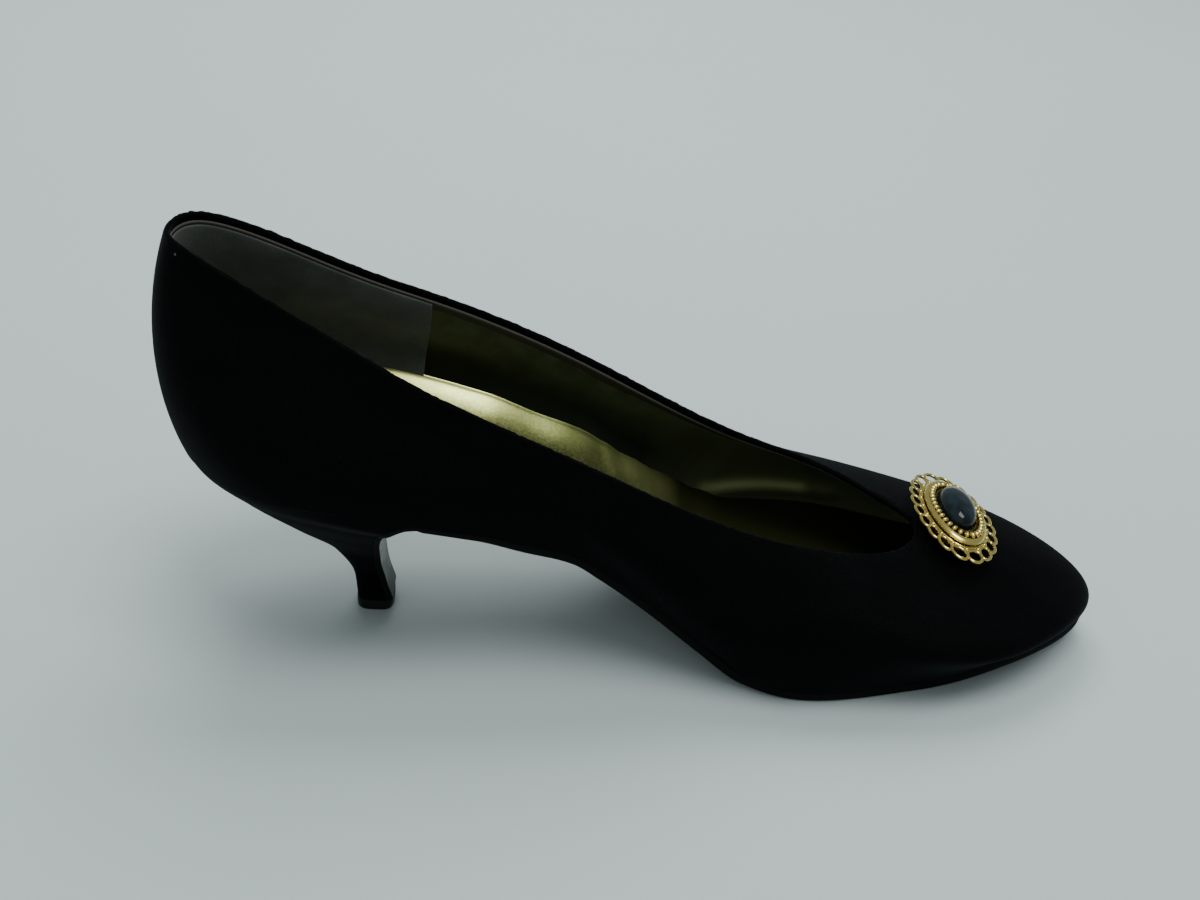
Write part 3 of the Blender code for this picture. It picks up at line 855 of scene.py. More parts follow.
@dataclass(frozen=True)
class Polished:
    """Black leather or moulded black, polished, with worn grey scuffs low on the shoe."""

    name: str = "polished_black"
    colour: Triple = (0.008, 0.008, 0.009)
    edge: Triple = (0.0015, 0.0015, 0.0016)
    scuff: Triple = (0.050, 0.048, 0.045)
    roughness: Pair = (0.16, 0.34)
    edge_roughness: float = 0.85
    scuff_roughness: float = 0.75
    scuff_height: float = 0.6
    scuff_size: float = 1.4
    scuff_stretch: Triple = (0.35, 1.0, 1.0)
    scuff_range: Pair = (0.42, 0.66)
    clouds: float = 5.0
    cloud_range: Pair = (0.35, 0.7)
    grain: float = 0.7
    grain_depth: float = 0.03

    def material(self) -> Material:
        """Fine grain and cloudy gloss, and scuffs where the piece comes within a height of the floor.

        Returns:
            The finish.
        """
        shade = Shade(self.name, Specular_IOR_Level=0.13)
        marks = shade.noise(self.scuff_size, 5.0, shade.stretched(self.scuff_stretch))
        low = shade.span(shade.axis("Z"), (0.0, self.scuff_height * MM), FADE)
        worn = shade.math("MULTIPLY", low, shade.span(marks, self.scuff_range))
        rim = shade.axis("Y", "UV")
        colour = shade.mix(worn, shade.mix(rim, self.colour, self.edge), self.scuff)
        gloss = shade.span(shade.noise(self.clouds, 4.0), self.cloud_range, self.roughness)
        for share, rough in ((worn, self.scuff_roughness), (rim, self.edge_roughness)):
            gloss = shade.math("MAXIMUM", gloss, shade.span(share, UNIT, (0.0, rough)))
        relief = shade.bump(shade.cells(self.grain), self.grain_depth, 0.3)
        return shade.feed(Base_Color=colour, Roughness=gloss, Normal=relief)


@dataclass(frozen=True)
class PaleGold:
    """Plated pale gold with brown tarnish in its recesses, which the UV map's Y marks from 0 to 1."""

    gold: Triple = (0.50, 0.37, 0.09)
    worn: Triple = (0.68, 0.55, 0.17)
    tarnish: Triple = (0.034, 0.015, 0.006)
    worn_range: Pair = (0.05, 0.35)
    tarnish_range: Pair = (0.45, 0.95)
    gloss_range: Pair = (0.1, 0.9)
    roughness: Pair = (0.22, 0.42)
    clouds: float = 1.3
    cloud_swing: float = 0.14

    def material(self) -> Material:
        """Gold, tarnished by recess and in small clouds.

        Returns:
            The finish.
        """
        shade = Shade("antique_gold", Metallic=1.0)
        clouds = shade.noise(self.clouds, 4.0)
        swing = shade.span(clouds, MIDDLE, (-self.cloud_swing, self.cloud_swing))
        recess = shade.math("ADD", shade.axis("Y", "UV"), swing)
        colour = shade.mix(shade.span(recess, self.worn_range), self.worn, self.gold)
        colour = shade.mix(shade.span(recess, self.tarnish_range), colour, self.tarnish)
        gloss = shade.span(recess, self.gloss_range, self.roughness)
        return shade.feed(Base_Color=colour, Roughness=gloss, Normal=shade.bump(clouds, 0.04, 0.25))


@dataclass(frozen=True)
class DarkStone:
    """Polished black cabochon with a cool depth."""

    colour: Triple = (0.004, 0.007, 0.009)
    vein: Triple = (0.010, 0.018, 0.022)
    clouds: float = 3.0
    cloud_range: Pair = (0.4, 0.7)

    def material(self) -> Material:
        """Faint clouds in the depth under a hard gloss.

        Returns:
            The finish.
        """
        shade = Shade("dark_cabochon", Roughness=0.10, IOR=1.4, Specular_IOR_Level=0.3)
        clouds = shade.span(shade.noise(self.clouds, 4.0), self.cloud_range)
        return shade.feed(Base_Color=shade.mix(clouds, self.colour, self.vein))


# Upper and what is sewn inside it

@dataclass
class Upper:
    """Velvet upper: one wall with a rolled top edge, folded in under the feather."""

    wall: float = 1.5
    rows_outside: int = 84
    rows_roll: int = 11
    rows_inside: int = 28
    rows_under: int = 3
    tuft: float = 0.10
    tuft_reach: float = 2.5
    seed: int = 11
    sharp: float = 60.0
    creases: Table = (
        (150.0, 9.0, 163.0, 24.0, 4.5, -0.35),
        (159.0, 7.0, 171.0, 20.0, 4.0, 0.25),
        (168.0, 6.0, 178.0, 19.0, 4.0, -0.25),
        (66.0, 57.0, 80.0, 64.0, 6.0, -0.20),
    )

    def shell(self) -> Array:
        """Closed loop of rows on each rib.

        The outer face runs up from the feather, a half circle of the wall's thickness turns over the top, the
        inner face runs back down, and a straight row closes it underneath.

        Returns:
            Points, columns by rows, the first of each repeated at the end.
        """
        radius = self.wall / 2
        top = LAST.below_top(np.array([radius]))
        outer, normals, _ = LAST.face(top * np.linspace(0, 1, self.rows_outside))
        outer = outer + relief_of(self.creases, outer[..., 0], outer[..., 2])[..., None] * normals
        edge, out, up = LAST.face(top)
        turn = np.linspace(0, np.pi, self.rows_roll)[1:-1, None]
        roll = edge - radius * out + radius * (np.cos(turn) * out + np.sin(turn) * up)
        inner = LAST.wall(top * np.linspace(1, 0, self.rows_inside), self.wall)
        share = np.linspace(0, 1, self.rows_under + 2)[1:, None]
        under = between(inner[:, -1:], outer[:, :1], share)
        return closed(np.concatenate([outer, roll, inner, under], axis=1))

    def tufts(self, grid: Array) -> Array:
        """Small random lifts of the pile along the top edge, fading below it.

        Args:
            grid: The shell's points.

        Returns:
            The points moved up or down along z.
        """
        lift = np.random.default_rng(self.seed).normal(0.0, self.tuft, grid.shape[:2])
        lift[-1] = lift[0]
        crest = grid[:, self.rows_outside + self.rows_roll // 2, None]
        away = np.linalg.norm(grid - crest, axis=2)
        lift *= np.exp(-((away / self.tuft_reach) ** 2))
        lift[:, 0] = lift[:, -1] = 0.0
        return grid + lift[..., None] * UP

    def build(self, finish: Material) -> None:
        """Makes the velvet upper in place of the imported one."""
        sheets = [Sheet(self.tufts(self.shell()))]
        add_piece("velvet_upper", sheets, finish, "upper", self.sharp)


@dataclass
class Inside:
    """Topline tape, gold lining and suede heel grip on the inner face of the upper."""

    tape_rows: Table = (
        (5.4, 1.52), (2.4, 1.52), (1.75, 1.62), (1.65, 1.86), (1.95, 2.05), (2.4, 1.98), (2.8, 1.84),
        (5.4, 1.80), (5.4, 1.52),
    )
    lining_top: float = 4.7
    lining_back: float = 1.56
    lining_face: float = 1.92
    lining_edge: float = 0.12
    lining_low: float = 0.02
    lining_rows: int = 60
    lining_back_rows: int = 8
    grip_top: float = 2.55
    grip_front: Pair = (67.5, 70.4)
    grip_low: float = 0.10
    grip_layers: Table = ((0.5, 1.98), (0.12, 2.10), (0.0, 2.25), (0.15, 2.40), (0.5, 2.48))
    grip_rows: int = 40
    grip_columns: int = 140
    # Line of the painted highlight along the lining's fold, as a crease row
    fold_highlight: tuple[float, ...] = (147.0, 16.0, 176.0, 14.5, 2.0, 1.0)
    creases: Table = (
        (139.0, 20.0, 146.0, 34.0, 2.6, -0.55),
        (146.0, 16.0, 154.0, 30.0, 3.2, 0.45),
        (151.0, 14.0, 185.0, 13.0, 2.6, 1.1),
        (96.0, 54.0, 101.0, 66.0, 5.0, 0.25),
        (112.0, 46.0, 118.0, 60.0, 5.0, -0.25),
    )

    def tape(self) -> Sheet:
        """Closed strip under the top edge: its small profile carried round the collar.

        Returns:
            The strip, marked with the distance below its top.
        """
        down, depth = np.array(self.tape_rows).T
        grid = LAST.wall(LAST.below_top(down), depth)
        return marked(closed(grid), down - down.min())

    def lining(self) -> Sheet:
        """Closed thin wall inside the upper, its face troughed and ridged by the creases.

        Returns:
            The wall, marked with a painted highlight along the fold and the share of the way up.
        """
        top = LAST.below_top(np.array([self.lining_top]))
        up = np.linspace(self.lining_low, 1, self.lining_back_rows)
        down = np.linspace(1, self.lining_low, self.lining_rows)
        shares = top * np.concatenate([up, down, up[:1]])
        face = slice(len(up), len(up) + len(down))
        x, y, z = np.moveaxis(LAST.face(shares)[0][:, face], -1, 0)
        depth = np.full(shares.shape, self.lining_back)
        depth[:, face] = self.lining_face + relief_of(self.creases, x, z)
        depth[:, face.start] -= self.lining_edge
        # Mark of the painted highlight along the fold, on the lateral side
        rubbed = np.zeros(shares.shape)
        rubbed[:, face] = np.clip(relief_of((self.fold_highlight,), x, z), 0, 1) * (y > 0)
        return marked(closed(LAST.wall(shares, depth)), closed(rubbed), closed(shares / top))

    def grip(self) -> list[Sheet]:
        """Suede layer round the heel, up to a straight front seam on both sides.

        Each row of the wall is read between the two columns where it meets the seam, whose place along the
        shoe goes from the first value of the front at the bottom to the second at the top. The rim is rounded
        through layers that shrink a little towards both faces.

        Returns:
            The sheets of the closed layer.
        """
        up = np.linspace(self.grip_low, 1, self.grip_rows)
        row = np.arange(self.grip_rows)
        spread = np.linspace(-1, 1, self.grip_columns)[:, None]
        layers = []
        for inset, depth in self.grip_layers:
            wall = LAST.wall(LAST.below_top(np.array([self.grip_top + inset])) * up, depth)
            seam = np.interp(up, (0, 1), self.grip_front) - inset
            front = np.argmax(wall[LAST.pairs[0], :, 0] > seam, axis=0)
            before, after = wall[front - 1, row, 0], wall[front, row, 0]
            place = spread * (front - 1 + (seam - before) / (after - before))
            low = np.floor(place).astype(int)
            share = (place - low)[..., None]
            layers.append(between(wall[low, row], wall[(low + 1) % LAST.count, row], share))
        return slab(layers)

    def build(self, tape: Material, gold: Material, suede: Material) -> None:
        """Makes the three layers.

        Args:
            tape: Finish of the tape.
            gold: Finish of the lining.
            suede: Finish of the grip.
        """
        add_piece("topline_tape", [self.tape()], tape)
        add_piece("gold_lining", [self.lining()], gold)
        add_piece("heel_grip", self.grip(), suede)


@dataclass
class Sock:
    """Gold sock on the insole board, dished along its middle, its edge tucked down at the wall."""

    clearance: float = 2.15
    edge_reach: float = 0.6
    edge_rows: int = 181
    dish: Pair = (5.8, 1.8)
    cup: Pair = (4.0, 2.0)
    dish_stretch: Pair = (112.0, 158.0)
    full_width: float = 46.0
    across: int = 72
    edge_drop: float = 0.35
    edge_width: float = 0.7
    foot_inset: float = 2.4
    creases: Table = (
        (117.0, 31.0, 124.0, 13.0, 1.7, 0.40),
        (121.0, 30.0, 128.0, 14.0, 1.1, -0.22),
        (126.0, 31.0, 131.0, 12.0, 1.3, 0.20),
        (131.0, 30.0, 137.0, 8.0, 1.4, -0.28),
        (137.0, 32.0, 142.0, -6.0, 2.0, 0.30),
        (143.5, 34.0, 146.0, -20.0, 1.8, -0.45),
        (149.0, 34.0, 152.0, -22.0, 2.6, 0.30),
    )

    def edge(self) -> Array:
        """Line on the inner wall at the insole's height above the feather.

        Returns:
            The point of each column where the wall, set in by the clearance, passes that height.
        """
        inner = LAST.wall(np.linspace(0, self.edge_reach, self.edge_rows), self.clearance)
        lift = inner[..., 2] - LAST.loops.feather[:, None, 2] - LAST.loops.insole[:, None]
        after = np.argmax(lift > 0, axis=1)
        column = np.arange(LAST.count)
        low, high = lift[column, after - 1], lift[column, after]
        return between(inner[column, after - 1], inner[column, after], (low / (low - high))[:, None])

    def face(self) -> Array:
        """Top of the sock: straight strips from edge to edge, dished, creased and dropped at the edge.

        The dish is a depth times one less a power of the share of the way from the middle, and the drop at
        the edge a bell curve of the distance from it.

        Returns:
            Points, strips from heel to toe by places across.
        """
        place = np.sin(np.linspace(-np.pi / 2, np.pi / 2, self.across + 1))
        grid = LAST.across(self.edge(), (place + 1) / 2)
        width = np.linalg.norm(grid[:, :1] - grid[:, -1:], axis=2)
        forward = smooth_step(grid[..., 0], *self.dish_stretch)
        dish, cup = (between(*ends, forward) for ends in (self.dish, self.cup))
        grid[..., 2] -= dish * np.minimum(1, width / self.full_width) * (1 - np.abs(place) ** cup)
        from_edge = (1 - np.abs(place)) * width / 2
        grid[..., 2] -= self.edge_drop * np.exp(-((from_edge / self.edge_width) ** 2))
        grid[..., 2] += relief_of(self.creases, grid[..., 0], grid[..., 1])
        return grid

    def build(self, finish: Material) -> None:
        """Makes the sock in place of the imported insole.

        Args:
            finish: Finish of the sock.
        """
        bottom = LAST.across(LAST.inset(self.foot_inset), np.linspace(0, 1, self.across + 1))
        bottom[..., 2] = LAST.profile(bottom[..., 0])[0] + GAP
        add_piece("gold_sock", slab([self.face(), bottom]), finish, "insole")


# Sole and heel

def heel_level(down: Array) -> Array:
    """Back, half width, power and tuck of the heel at shares of the way down."""
    rows = np.array(HEEL_LEVELS)
    return monotone(rows[:, 0], rows[:, 1:], np.asarray(down, float))[0].T


@dataclass
class Sole:
    """Thin sole from the toe to the waist and its flap down the heel breast."""

    tread: float = 3.0
    waist: float = 2.0
    thin_from: float = 74.0
    thick_from: float = 104.0
    flap_start: float = 70.0
    flap_step: float = 2.0
    flap_rows: int = 80
    flap_thickness: float = 1.6
    flap_back: Table = (
        (66.6, 47.4), (63.7, 45.4), (61.1, 41.4), (59.4, 36.0), (58.3, 28.0), (58.0, 19.0), (59.2, 10.0),
        (60.9, 3.8),
    )
    across: int = 40
    heel_lip: float = 68.5
    heel_foot: float = 3.8
    edge: Table = (
        (0.5, 0.0), (0.15, 0.06), (0.0, 0.22), (0.0, 0.5), (0.12, 0.75), (0.4, 0.94), (0.85, 1.0),
    )

    @cached_property
    def flap(self) -> tuple[Array, Array, Array]:
        """Back face of the flap, bottom first.

        Returns:
            Its x and z, the direction of its front and its thickness.
        """
        start = (self.flap_start, LAST.profile(self.flap_start)[0] - GAP, self.waist)
        rows = np.array([start, *((x, z, self.flap_thickness) for x, z in self.flap_back)])
        points, slopes = read_path(rows, self.flap_rows)
        front = unit(np.stack([-slopes[:, 1], slopes[:, 0]], axis=1))
        return points[::-1, :2], front[::-1], points[::-1, 2]

    def layer(self, inset: float, down: float) -> Array:
        """Grid of the sole at a share of its thickness, its edge set in from the feather.

        Args:
            inset: How far the edge lies inside the feather.
            down: Share of the thickness, 0 at the top.

        Returns:
            Points from the foot of the flap to the toe, by places across from lateral to medial.
        """
        share = np.linspace(0, 1, self.across + 1)
        keep = LAST.loops.feather[LAST.pairs[0], 0] > self.flap_start + self.flap_step
        strips = LAST.across(LAST.inset(inset), share)[keep]
        height, slope = LAST.profile(strips[..., 0])
        steep = np.sqrt(1 + slope**2)
        full = smooth_step(strips[..., 0], self.thin_from, self.thick_from)
        thickness = down * (self.waist + (self.tread - self.waist) * full)
        back, front, depth = self.flap
        seat = LAST.profile(self.heel_lip)[0] - GAP
        _, half, _, tuck = heel_level(np.clip((seat - back[:, 1]) / (seat - self.heel_foot), 0, 1))
        half = half * (1 - tuck) + self.edge[0][0] - inset - GAP
        blend = smooth_step(back[:, 0], self.flap_back[1][0], self.flap_start)
        one, two = (between(y, strips[0, end, 1], blend)[:, None] for y, end in ((half, 0), (-half, -1)))
        x, z = (back + down * depth[:, None] * front).T[..., None]
        strips[..., 0] += thickness * slope / steep
        strips[..., 2] = height - GAP - thickness / steep
        return np.concatenate([spatial(x, between(one, two, share), z), strips])

    def build(self, finish: Material) -> None:
        """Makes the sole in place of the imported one."""
        layers = [self.layer(inset, down) for inset, down in self.edge]
        add_piece("polished_sole", slab(layers), finish, "outsole")


@dataclass
class Heel:
    """Velvet-covered heel block and the lift under it."""

    sole: Sole
    lip: float = 69.0
    seat_margin: float = 12.0
    seat_inset: float = 0.1
    rim_share: float = 0.2
    levels: int = 110
    crowding: float = 1.2
    arc: int = 72
    breast: int = 12
    lift_power: float = 0.55
    lift_rings: Table = (
        (3.5, -0.30), (3.42, -0.08), (3.2, 0.0), (2.0, 0.03), (0.9, 0.0), (0.4, -0.14), (0.12, -0.36),
        (0.0, -0.6),
    )

    def seat(self, angles: Array) -> tuple[Array, Array]:
        """The feather line round the seat, read at angles from the medial to the lateral front corner.

        Args:
            angles: Angles about the middle of the heel's lip.

        Returns:
            Plan places and heights.
        """
        lateral, medial = LAST.pairs
        near = lateral[LAST.loops.feather[lateral, 0] < self.lip + self.seat_margin]
        edge = LAST.inset(self.seat_inset)[np.concatenate([medial[near][::-1], near[1:]])]
        deep = (self.lip - edge[:, 0]) / (self.lip - LAST.feather_start)
        round_to = np.arctan2(edge[:, 1] / SEAT_HALF, deep)
        ring = np.stack([np.interp(angles, round_to, edge[:, k]) for k in range(2)], axis=1)
        return ring, LAST.profile(ring[:, 0])[0] - GAP

    def rings(self) -> Array:
        """D-shaped rings from the seat's outline down to the small end, closed along the breast.

        A ring's depth is the cosine and its width the sine of the angle, both raised to the level's power.
        The width is drawn in by the tuck times the fourth power of the angle's share of the way to the
        corner.

        Returns:
            Points, levels by places round the ring, the first repeated.
        """
        angles = np.linspace(-np.pi / 2, np.pi / 2, self.arc)
        seat, seat_z = self.seat(angles)
        down = (np.linspace(0, 1, self.levels) ** self.crowding)[:, None]
        back, half, power, tuck = heel_level(down[:, 0])[..., None]
        deep = np.abs(np.cos(angles)) ** power
        wide = np.sign(angles) * np.abs(np.sin(angles)) ** power
        wide = wide * (1 - tuck * (2 * np.abs(angles) / np.pi) ** 4)
        height = between(seat_z, self.sole.heel_foot, down)
        flap, _, _ = self.sole.flap
        front = np.minimum(self.lip, np.interp(height[:, :1], flap[:, 1], flap[:, 0]) - GAP)
        rim = np.clip(1 - down / self.rim_share, 0, 1) ** 2
        seat_share = (seat[:, 0] - seat[:, 0].min()) / np.ptp(seat[:, 0])
        along = between(front - (front - back) * deep, back + (front - back) * seat_share, rim)
        wide = between(half * wide, seat[:, 1] * half / SEAT_HALF, rim)
        arc = spatial(along, wide, height)
        share = np.linspace(0, 1, self.breast + 1)[1:, None]
        return np.concatenate([arc, between(arc[:, -1:], arc[:, :1], share)], axis=1)

    def lift(self) -> Array:
        """Rings of the lift: a square with round corners, its lower edge worn round.

        Each ring is the cosine and sine of an angle raised to a low power.

        Returns:
            Points, rings by places round them, the first repeated.
        """
        angles = np.linspace(0, FULL_TURN, 2 * self.arc + 1)
        height, grow = np.array(self.lift_rings).T[..., None]
        front = self.sole.flap_back[-1][0] + self.sole.flap_thickness
        _, back, half, _, _ = HEEL_LEVELS[-1]
        circle = np.cos(angles), np.sin(angles)
        deep, wide = (np.sign(part) * np.abs(part) ** self.lift_power for part in circle)
        along = ((front - back) / 2 + grow) * deep + (front + back) / 2
        return spatial(along, (half + grow) * wide, height)

    @staticmethod
    def capped(rings: Array) -> Sheet:
        """Rings with both ends drawn in to a point in the middle of the end ring."""
        caps = [np.broadcast_to(ring[:-1].mean(axis=0), ring.shape) for ring in (rings[0], rings[-1])]
        return Sheet(np.concatenate([caps[:1], rings, caps[1:]]))

    def build(self, velvet: Material, plastic: Material) -> None:
        """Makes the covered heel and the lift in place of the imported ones."""
        add_piece("covered_heel", [self.capped(self.rings())], velvet, "heel")
        add_piece("heel_lift", [self.capped(self.lift())], plastic, "top_piece")


# Brooch

class Bead(NamedTuple):
    """A ring of beads: share of the plate's oval, height above the vamp and radii along, outwards and up."""

    share: float
    height: float
    radii: Triple


@dataclass
class Brooch:
    """Oval brooch across the vamp: looped wire border, dished setting, ring of beads and a cabochon.

    Rows of the setting and the stone are a share of the plate's oval, a height above the vamp and tarnish.
    """

    x: float = 209.2
    y: float = 4.5
    reach: float = 6.0
    vamp_rows: int = 61
    half: Pair = (20.5, 11.8)
    bend: float = 300.0
    plate_height: float = 4.4
    loops: int = 20
    wire: float = 0.46
    inner_wire: float = 0.506
    loop_place: float = 0.865
    loop_reach: float = 0.115
    loop_spread: float = 1.02
    wire_points: int = 40
    ring_points: int = 320
    wire_sides: int = 12
    wire_tarnish: Pair = (0.45, 0.55)
    joints: Bead = Bead(0.76, 4.7, (0.66, 0.66, 0.60))
    inner_wires: Table = ((0.715, 4.5), (0.66, 4.2))
    beads: int = 34
    bead: Bead = Bead(0.565, 6.5, (0.70, 1.15, 0.95))
    bead_rows: int = 9
    bead_sides: int = 13
    bead_tarnish: Pair = (0.35, 0.8)
    small_weld: float = 0.0005
    around: int = 220
    oval_steps: int = 1441
    setting_rows: int = 90
    setting: Table = (
        (0.00, 0.6, 0.9), (0.54, 0.6, 0.9), (0.60, 2.0, 0.8), (0.60, 4.9, 0.8), (0.67, 5.1, 0.6),
        (0.705, 5.35, 0.3), (0.715, 5.7, 0.0), (0.70, 6.1, 0.0), (0.675, 6.4, 0.0), (0.645, 6.6, 0.05),
        (0.63, 6.5, 0.4), (0.62, 6.2, 1.0), (0.50, 6.3, 1.0), (0.46, 6.45, 0.8), (0.44, 6.35, 0.9),
        (0.435, 5.6, 0.9), (0.00, 5.6, 0.9),
    )
    stone_rows: int = 60
    stone: Table = (
        (0.00, 5.8, 0.0), (0.41, 5.8, 0.0), (0.42, 6.4, 0.0), (0.415, 7.3, 0.0), (0.385, 8.4, 0.0),
        (0.32, 9.35, 0.0), (0.23, 10.05, 0.0), (0.125, 10.45, 0.0), (0.05, 10.57, 0.0), (0.00, 10.6, 0.0),
    )

    @cached_property
    def axes(self) -> tuple[Array, Array, Array, Array]:
        """Stand of the brooch: a plane fitted to the vamp's face within the reach of its place.

        Returns:
            Base point on the vamp, and the directions across the foot, towards the toe and out.
        """
        near = LAST.ribs(np.linspace(0.5, 1, self.vamp_rows))[0].reshape(-1, 3) - (self.x, self.y, 0.0)
        near = near[np.hypot(near[:, 0], near[:, 1]) < self.reach]
        offsets = spatial(near[:, 0], near[:, 1], 1.0)
        slope_x, slope_y, height = np.linalg.lstsq(offsets, near[:, 2], rcond=None)[0]
        out = unit(np.array([-slope_x, -slope_y, 1.0]))
        toeward = unit(np.array([1.0, 0.0, slope_x]))
        return np.array([self.x, self.y, height]), np.cross(out, toeward), toeward, out

    def on_vamp(self, places: Array) -> Array:
        """Shoe points of places on the brooch, bent down towards its ends.

        Args:
            places: Across, toeward and height.

        Returns:
            The points.
        """
        base, side, toeward, out = self.axes
        height = places[..., 2:3] - places[..., :1] ** 2 / (2 * self.bend)
        return base + places[..., :1] * side + places[..., 1:2] * toeward + height * out

    def oval(self, share: Array, angles: Array, height: Array) -> Array:
        """Places at a height on the plate's oval shrunk to a share of its size."""
        return spatial(share * self.half[0] * np.cos(angles), share * self.half[1] * np.sin(angles), height)

    def even_angles(self, count: int) -> Array:
        """Angles that divide the plate's oval into steps of equal length.

        Args:
            count: Number of steps.

        Returns:
            The angles.
        """
        fine = np.linspace(0, FULL_TURN, self.oval_steps)
        length = chords(self.oval(1.0, fine, 0.0))
        return np.interp(np.arange(count) * length[-1] / count, length, fine)

    def turned(self, profile: Table, count: int) -> Sheet:
        """Profile carried round the oval: shares of the oval and heights, read on a rounded path.

        Args:
            profile: Rows from the middle under the piece to the middle above it.
            count: Points to read on the path.

        Returns:
            The closed sheet, marked with the tarnish.
        """
        short = self.half[1]
        width, height, tarnish = read_path(np.array(profile) * (short, 1.0, 1.0), count)[0].T
        angles = np.linspace(0, FULL_TURN, self.around + 1)[:, None]
        return marked(self.on_vamp(self.oval(width / short, angles, height)), tarnish)

    def tubes(self, places: Array, radius: float) -> Sheet:
        """Round wires along closed lines of places: a circle carried along each, square to it.

        Args:
            places: Across, toeward and height along each line, a stack of lines.
            radius: Radius of the wire.

        Returns:
            The stack of closed tubes, tarnished towards the underside.
        """
        path = self.on_vamp(places)
        out = self.axes[3]
        side = unit(np.cross(np.roll(path, -1, axis=1) - np.roll(path, 1, axis=1), out))[:, :, None]
        turn = np.linspace(0, FULL_TURN, self.wire_sides + 1)[:, None]
        grid = path[:, :, None] + radius * (np.cos(turn) * side + np.sin(turn) * out)
        middle, swing = self.wire_tarnish
        tarnish = np.clip(middle - swing * np.sin(turn[:, 0]), 0, 1)
        return marked(np.concatenate([grid, grid[:, :1]], axis=1), tarnish)

    def border(self) -> list[Sheet]:
        """A wire loop in each scallop, two oval wires inside them and a small bead between loops.

        A loop goes round in angle and in share of the oval, so that it is longer at the oval's ends.

        Returns:
            The sheets of the border.
        """
        turn = np.linspace(0, FULL_TURN, self.wire_points, endpoint=False)
        angles = self.even_angles(2 * self.loops)
        middles, joints = angles[1::2, None], angles[::2]
        reach = (np.append(joints[1:], FULL_TURN) - joints)[:, None] / 2
        around = middles + self.loop_spread * reach * np.cos(turn)
        share = self.loop_place + self.loop_reach * np.sin(turn)
        ring = np.linspace(0, FULL_TURN, self.ring_points, endpoint=False)
        ovals = (self.oval(place, ring, level)[None] for place, level in self.inner_wires)
        return [self.tubes(self.oval(share, around, self.plate_height), self.wire),
                *(self.tubes(oval, self.inner_wire) for oval in ovals), self.bead_ring(self.joints, joints)]

    def bead_ring(self, bead: Bead, angles: Array) -> Sheet:
        """Beads at angles round the oval, each a turned half circle stretched to its three radii.

        Args:
            bead: Place, height and radii along the oval, outwards and up.
            angles: Angles round the oval.

        Returns:
            The stack of beads, tarnished underneath.
        """
        polar = np.linspace(0, np.pi, self.bead_rows)[:, None]
        turn = np.linspace(0, FULL_TURN, self.bead_sides)
        ball = spatial(np.sin(polar) * np.cos(turn), np.sin(polar) * np.sin(turn), np.cos(polar)) * bead.radii
        _, side, toeward, out = self.axes
        along = unit(np.stack([-self.half[0] * np.sin(angles), self.half[1] * np.cos(angles)], axis=1))
        ahead = along[:, :1] * side + along[:, 1:] * toeward
        axes = np.stack([ahead, np.cross(ahead, out), np.broadcast_to(out, ahead.shape)], axis=1)
        centre = self.on_vamp(self.oval(bead.share, angles, bead.height))
        middle, swing = self.bead_tarnish
        tarnish = np.clip(middle - swing * np.cos(polar), 0, 1)
        return marked(centre[:, None, None] + ball @ axes[:, None], tarnish)

    def build(self, gold: Material, stone: Material) -> None:
        """Makes the brooch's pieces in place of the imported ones.

        Args:
            gold: Finish of the metal.
            stone: Finish of the cabochon.
        """
        beads = self.bead_ring(self.bead, self.even_angles(self.beads))
        setting = self.turned(self.setting, self.setting_rows)
        cabochon = self.turned(self.stone, self.stone_rows)
        add_piece("brooch_border", self.border(), gold, "brooch_filigree", weld=self.small_weld)
        add_piece("brooch_setting", [setting], gold, "brooch_bezel")
        add_piece("brooch_beads", [beads], gold, weld=self.small_weld)
        add_piece("brooch_cabochon", [cabochon], stone, "brooch_stone")


# Studio

@dataclass(frozen=True)
class Lamp:
    """A soft square light: place and aim in metres, side of the square, power and colour."""

    name: str
    place: Triple
    aim: Triple
    side: float
    power: float
    mirrored: bool = True
    colour: Triple = (0.97, 1.0, 0.99)

    def build(self) -> None:
        """Makes the light, kept out of reflections where it is not mirrored."""
        data = bpy.data.lights.new(self.name, "AREA")
        data.size = self.side
        data.energy = self.power
        data.color = self.colour
        lamp = add_object(self.name, data)
        lamp.visible_glossy = self.mirrored
        lamp.location = self.place
        lamp.rotation_euler = (Vector(self.aim) - Vector(self.place)).to_track_quat("-Z", "Y").to_euler()


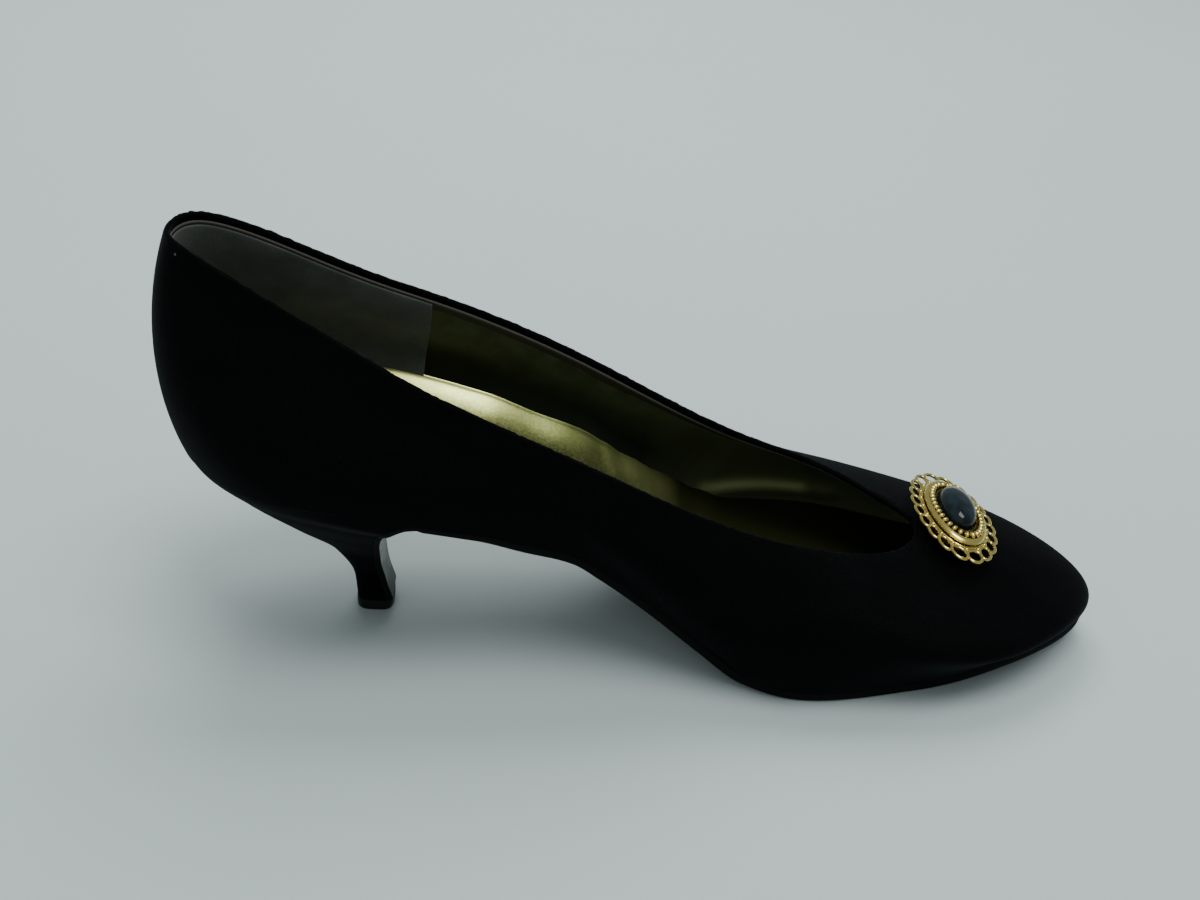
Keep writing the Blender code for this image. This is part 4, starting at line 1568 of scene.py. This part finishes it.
@dataclass
class Studio:
    """Pale floor, soft light and the camera at the photograph's angle."""

    floor_half: float = 6.0
    floor_colour: Triple = (0.40, 0.46, 0.455)
    floor_shade: float = 0.95
    floor_clouds: float = 180.0
    sky: Triple = (0.74, 0.82, 0.84)
    sky_strength: float = 0.45
    lamps: tuple[Lamp, ...] = (
        Lamp("ceiling", (0.20, -0.20, 1.46), (0.0, 0.0, 0.03), 0.7, 17.0),
        Lamp("back", (-0.05, 0.50, 0.80), (-0.05, 0.40, 0.0), 0.6, 8.0, mirrored=False),
        Lamp("window", (1.25, 0.42, 0.68), (0.0, 0.0, 0.03), 0.22, 3.0, mirrored=False),
        Lamp("fill", (-0.50, -1.30, 1.20), (0.0, 0.0, 0.03), 1.6, 4.0),
    )
    azimuth: float = -3.52
    elevation: float = 36.10
    roll: float = 5.09
    distance: float = 420.16
    target: Triple = (115.55, 15.14, 42.64)
    focal_pixels: float = 1580.4
    image_width: float = 1200.0
    sensor: float = 36.0
    nearest: float = 0.01

    def floor(self) -> None:
        """Wide level floor with a faint unevenness in its tone."""
        half = self.floor_half
        mesh = bpy.data.meshes.new("floor")
        corners = [(-half, -half, 0.0), (half, -half, 0.0), (half, half, 0.0), (-half, half, 0.0)]
        mesh.from_pydata(corners, [], [(0, 1, 2, 3)])
        shade = Shade("pale_floor", Roughness=0.9, Specular_IOR_Level=0.2)
        darker = tuple(self.floor_shade * part for part in self.floor_colour)
        tone = shade.mix(shade.noise(self.floor_clouds, 2.0), darker, self.floor_colour)
        mesh.materials.append(shade.feed(Base_Color=tone))
        add_object("floor", mesh)

    def light(self) -> None:
        """Even sky and the lamps."""
        world = bpy.data.worlds.new("studio")
        world.use_nodes = True
        background = world.node_tree.nodes["Background"]
        background.inputs["Color"].default_value = (*self.sky, 1.0)
        background.inputs["Strength"].default_value = self.sky_strength
        bpy.context.scene.world = world
        for lamp in self.lamps:
            lamp.build()

    def camera(self) -> None:
        """Camera turned round the target by azimuth and elevation, and rolled about its own axis."""
        turn, lift, roll = (math.radians(angle) for angle in (self.azimuth, self.elevation, self.roll))
        back = Vector((math.sin(turn) * math.cos(lift), -math.cos(turn) * math.cos(lift), math.sin(lift)))
        right = Vector((math.cos(turn), math.sin(turn), 0.0))
        up = back.cross(right)
        side = right * math.cos(roll) + up * math.sin(roll)
        head = up * math.cos(roll) - right * math.sin(roll)
        data = bpy.data.cameras.new("camera")
        data.sensor_fit = "HORIZONTAL"
        data.sensor_width = self.sensor
        data.lens = self.focal_pixels * self.sensor / self.image_width
        data.clip_start = self.nearest
        camera = add_object("camera", data)
        place = Vector(LAST.place(self.target)) + back * self.distance * MM
        camera.matrix_world = Matrix.Translation(place) @ Matrix((side, head, back)).transposed().to_4x4()
        bpy.context.scene.camera = camera

    def build(self) -> None:
        """Makes the floor, the light and the camera."""
        self.floor()
        self.light()
        self.camera()


def main() -> None:
    """Builds the studio and the shoe's pieces in order."""
    logging.basicConfig(level=logging.INFO, format="%(name)s %(message)s")
    Studio().build()
    velvet = Velvet().material()
    Upper().build(velvet)
    Inside().build(Tape().material(), GoldLining().material(), Suede().material())
    Sock().build(GoldSock().material())
    sole = Sole()
    sole.build(Polished().material())
    plastic = Polished(name="lift_plastic", roughness=(0.3, 0.45), scuff_height=0.9)
    Heel(sole).build(velvet, plastic.material())
    Brooch().build(PaleGold().material(), DarkStone().material())


if __name__ == "__main__":
    main()
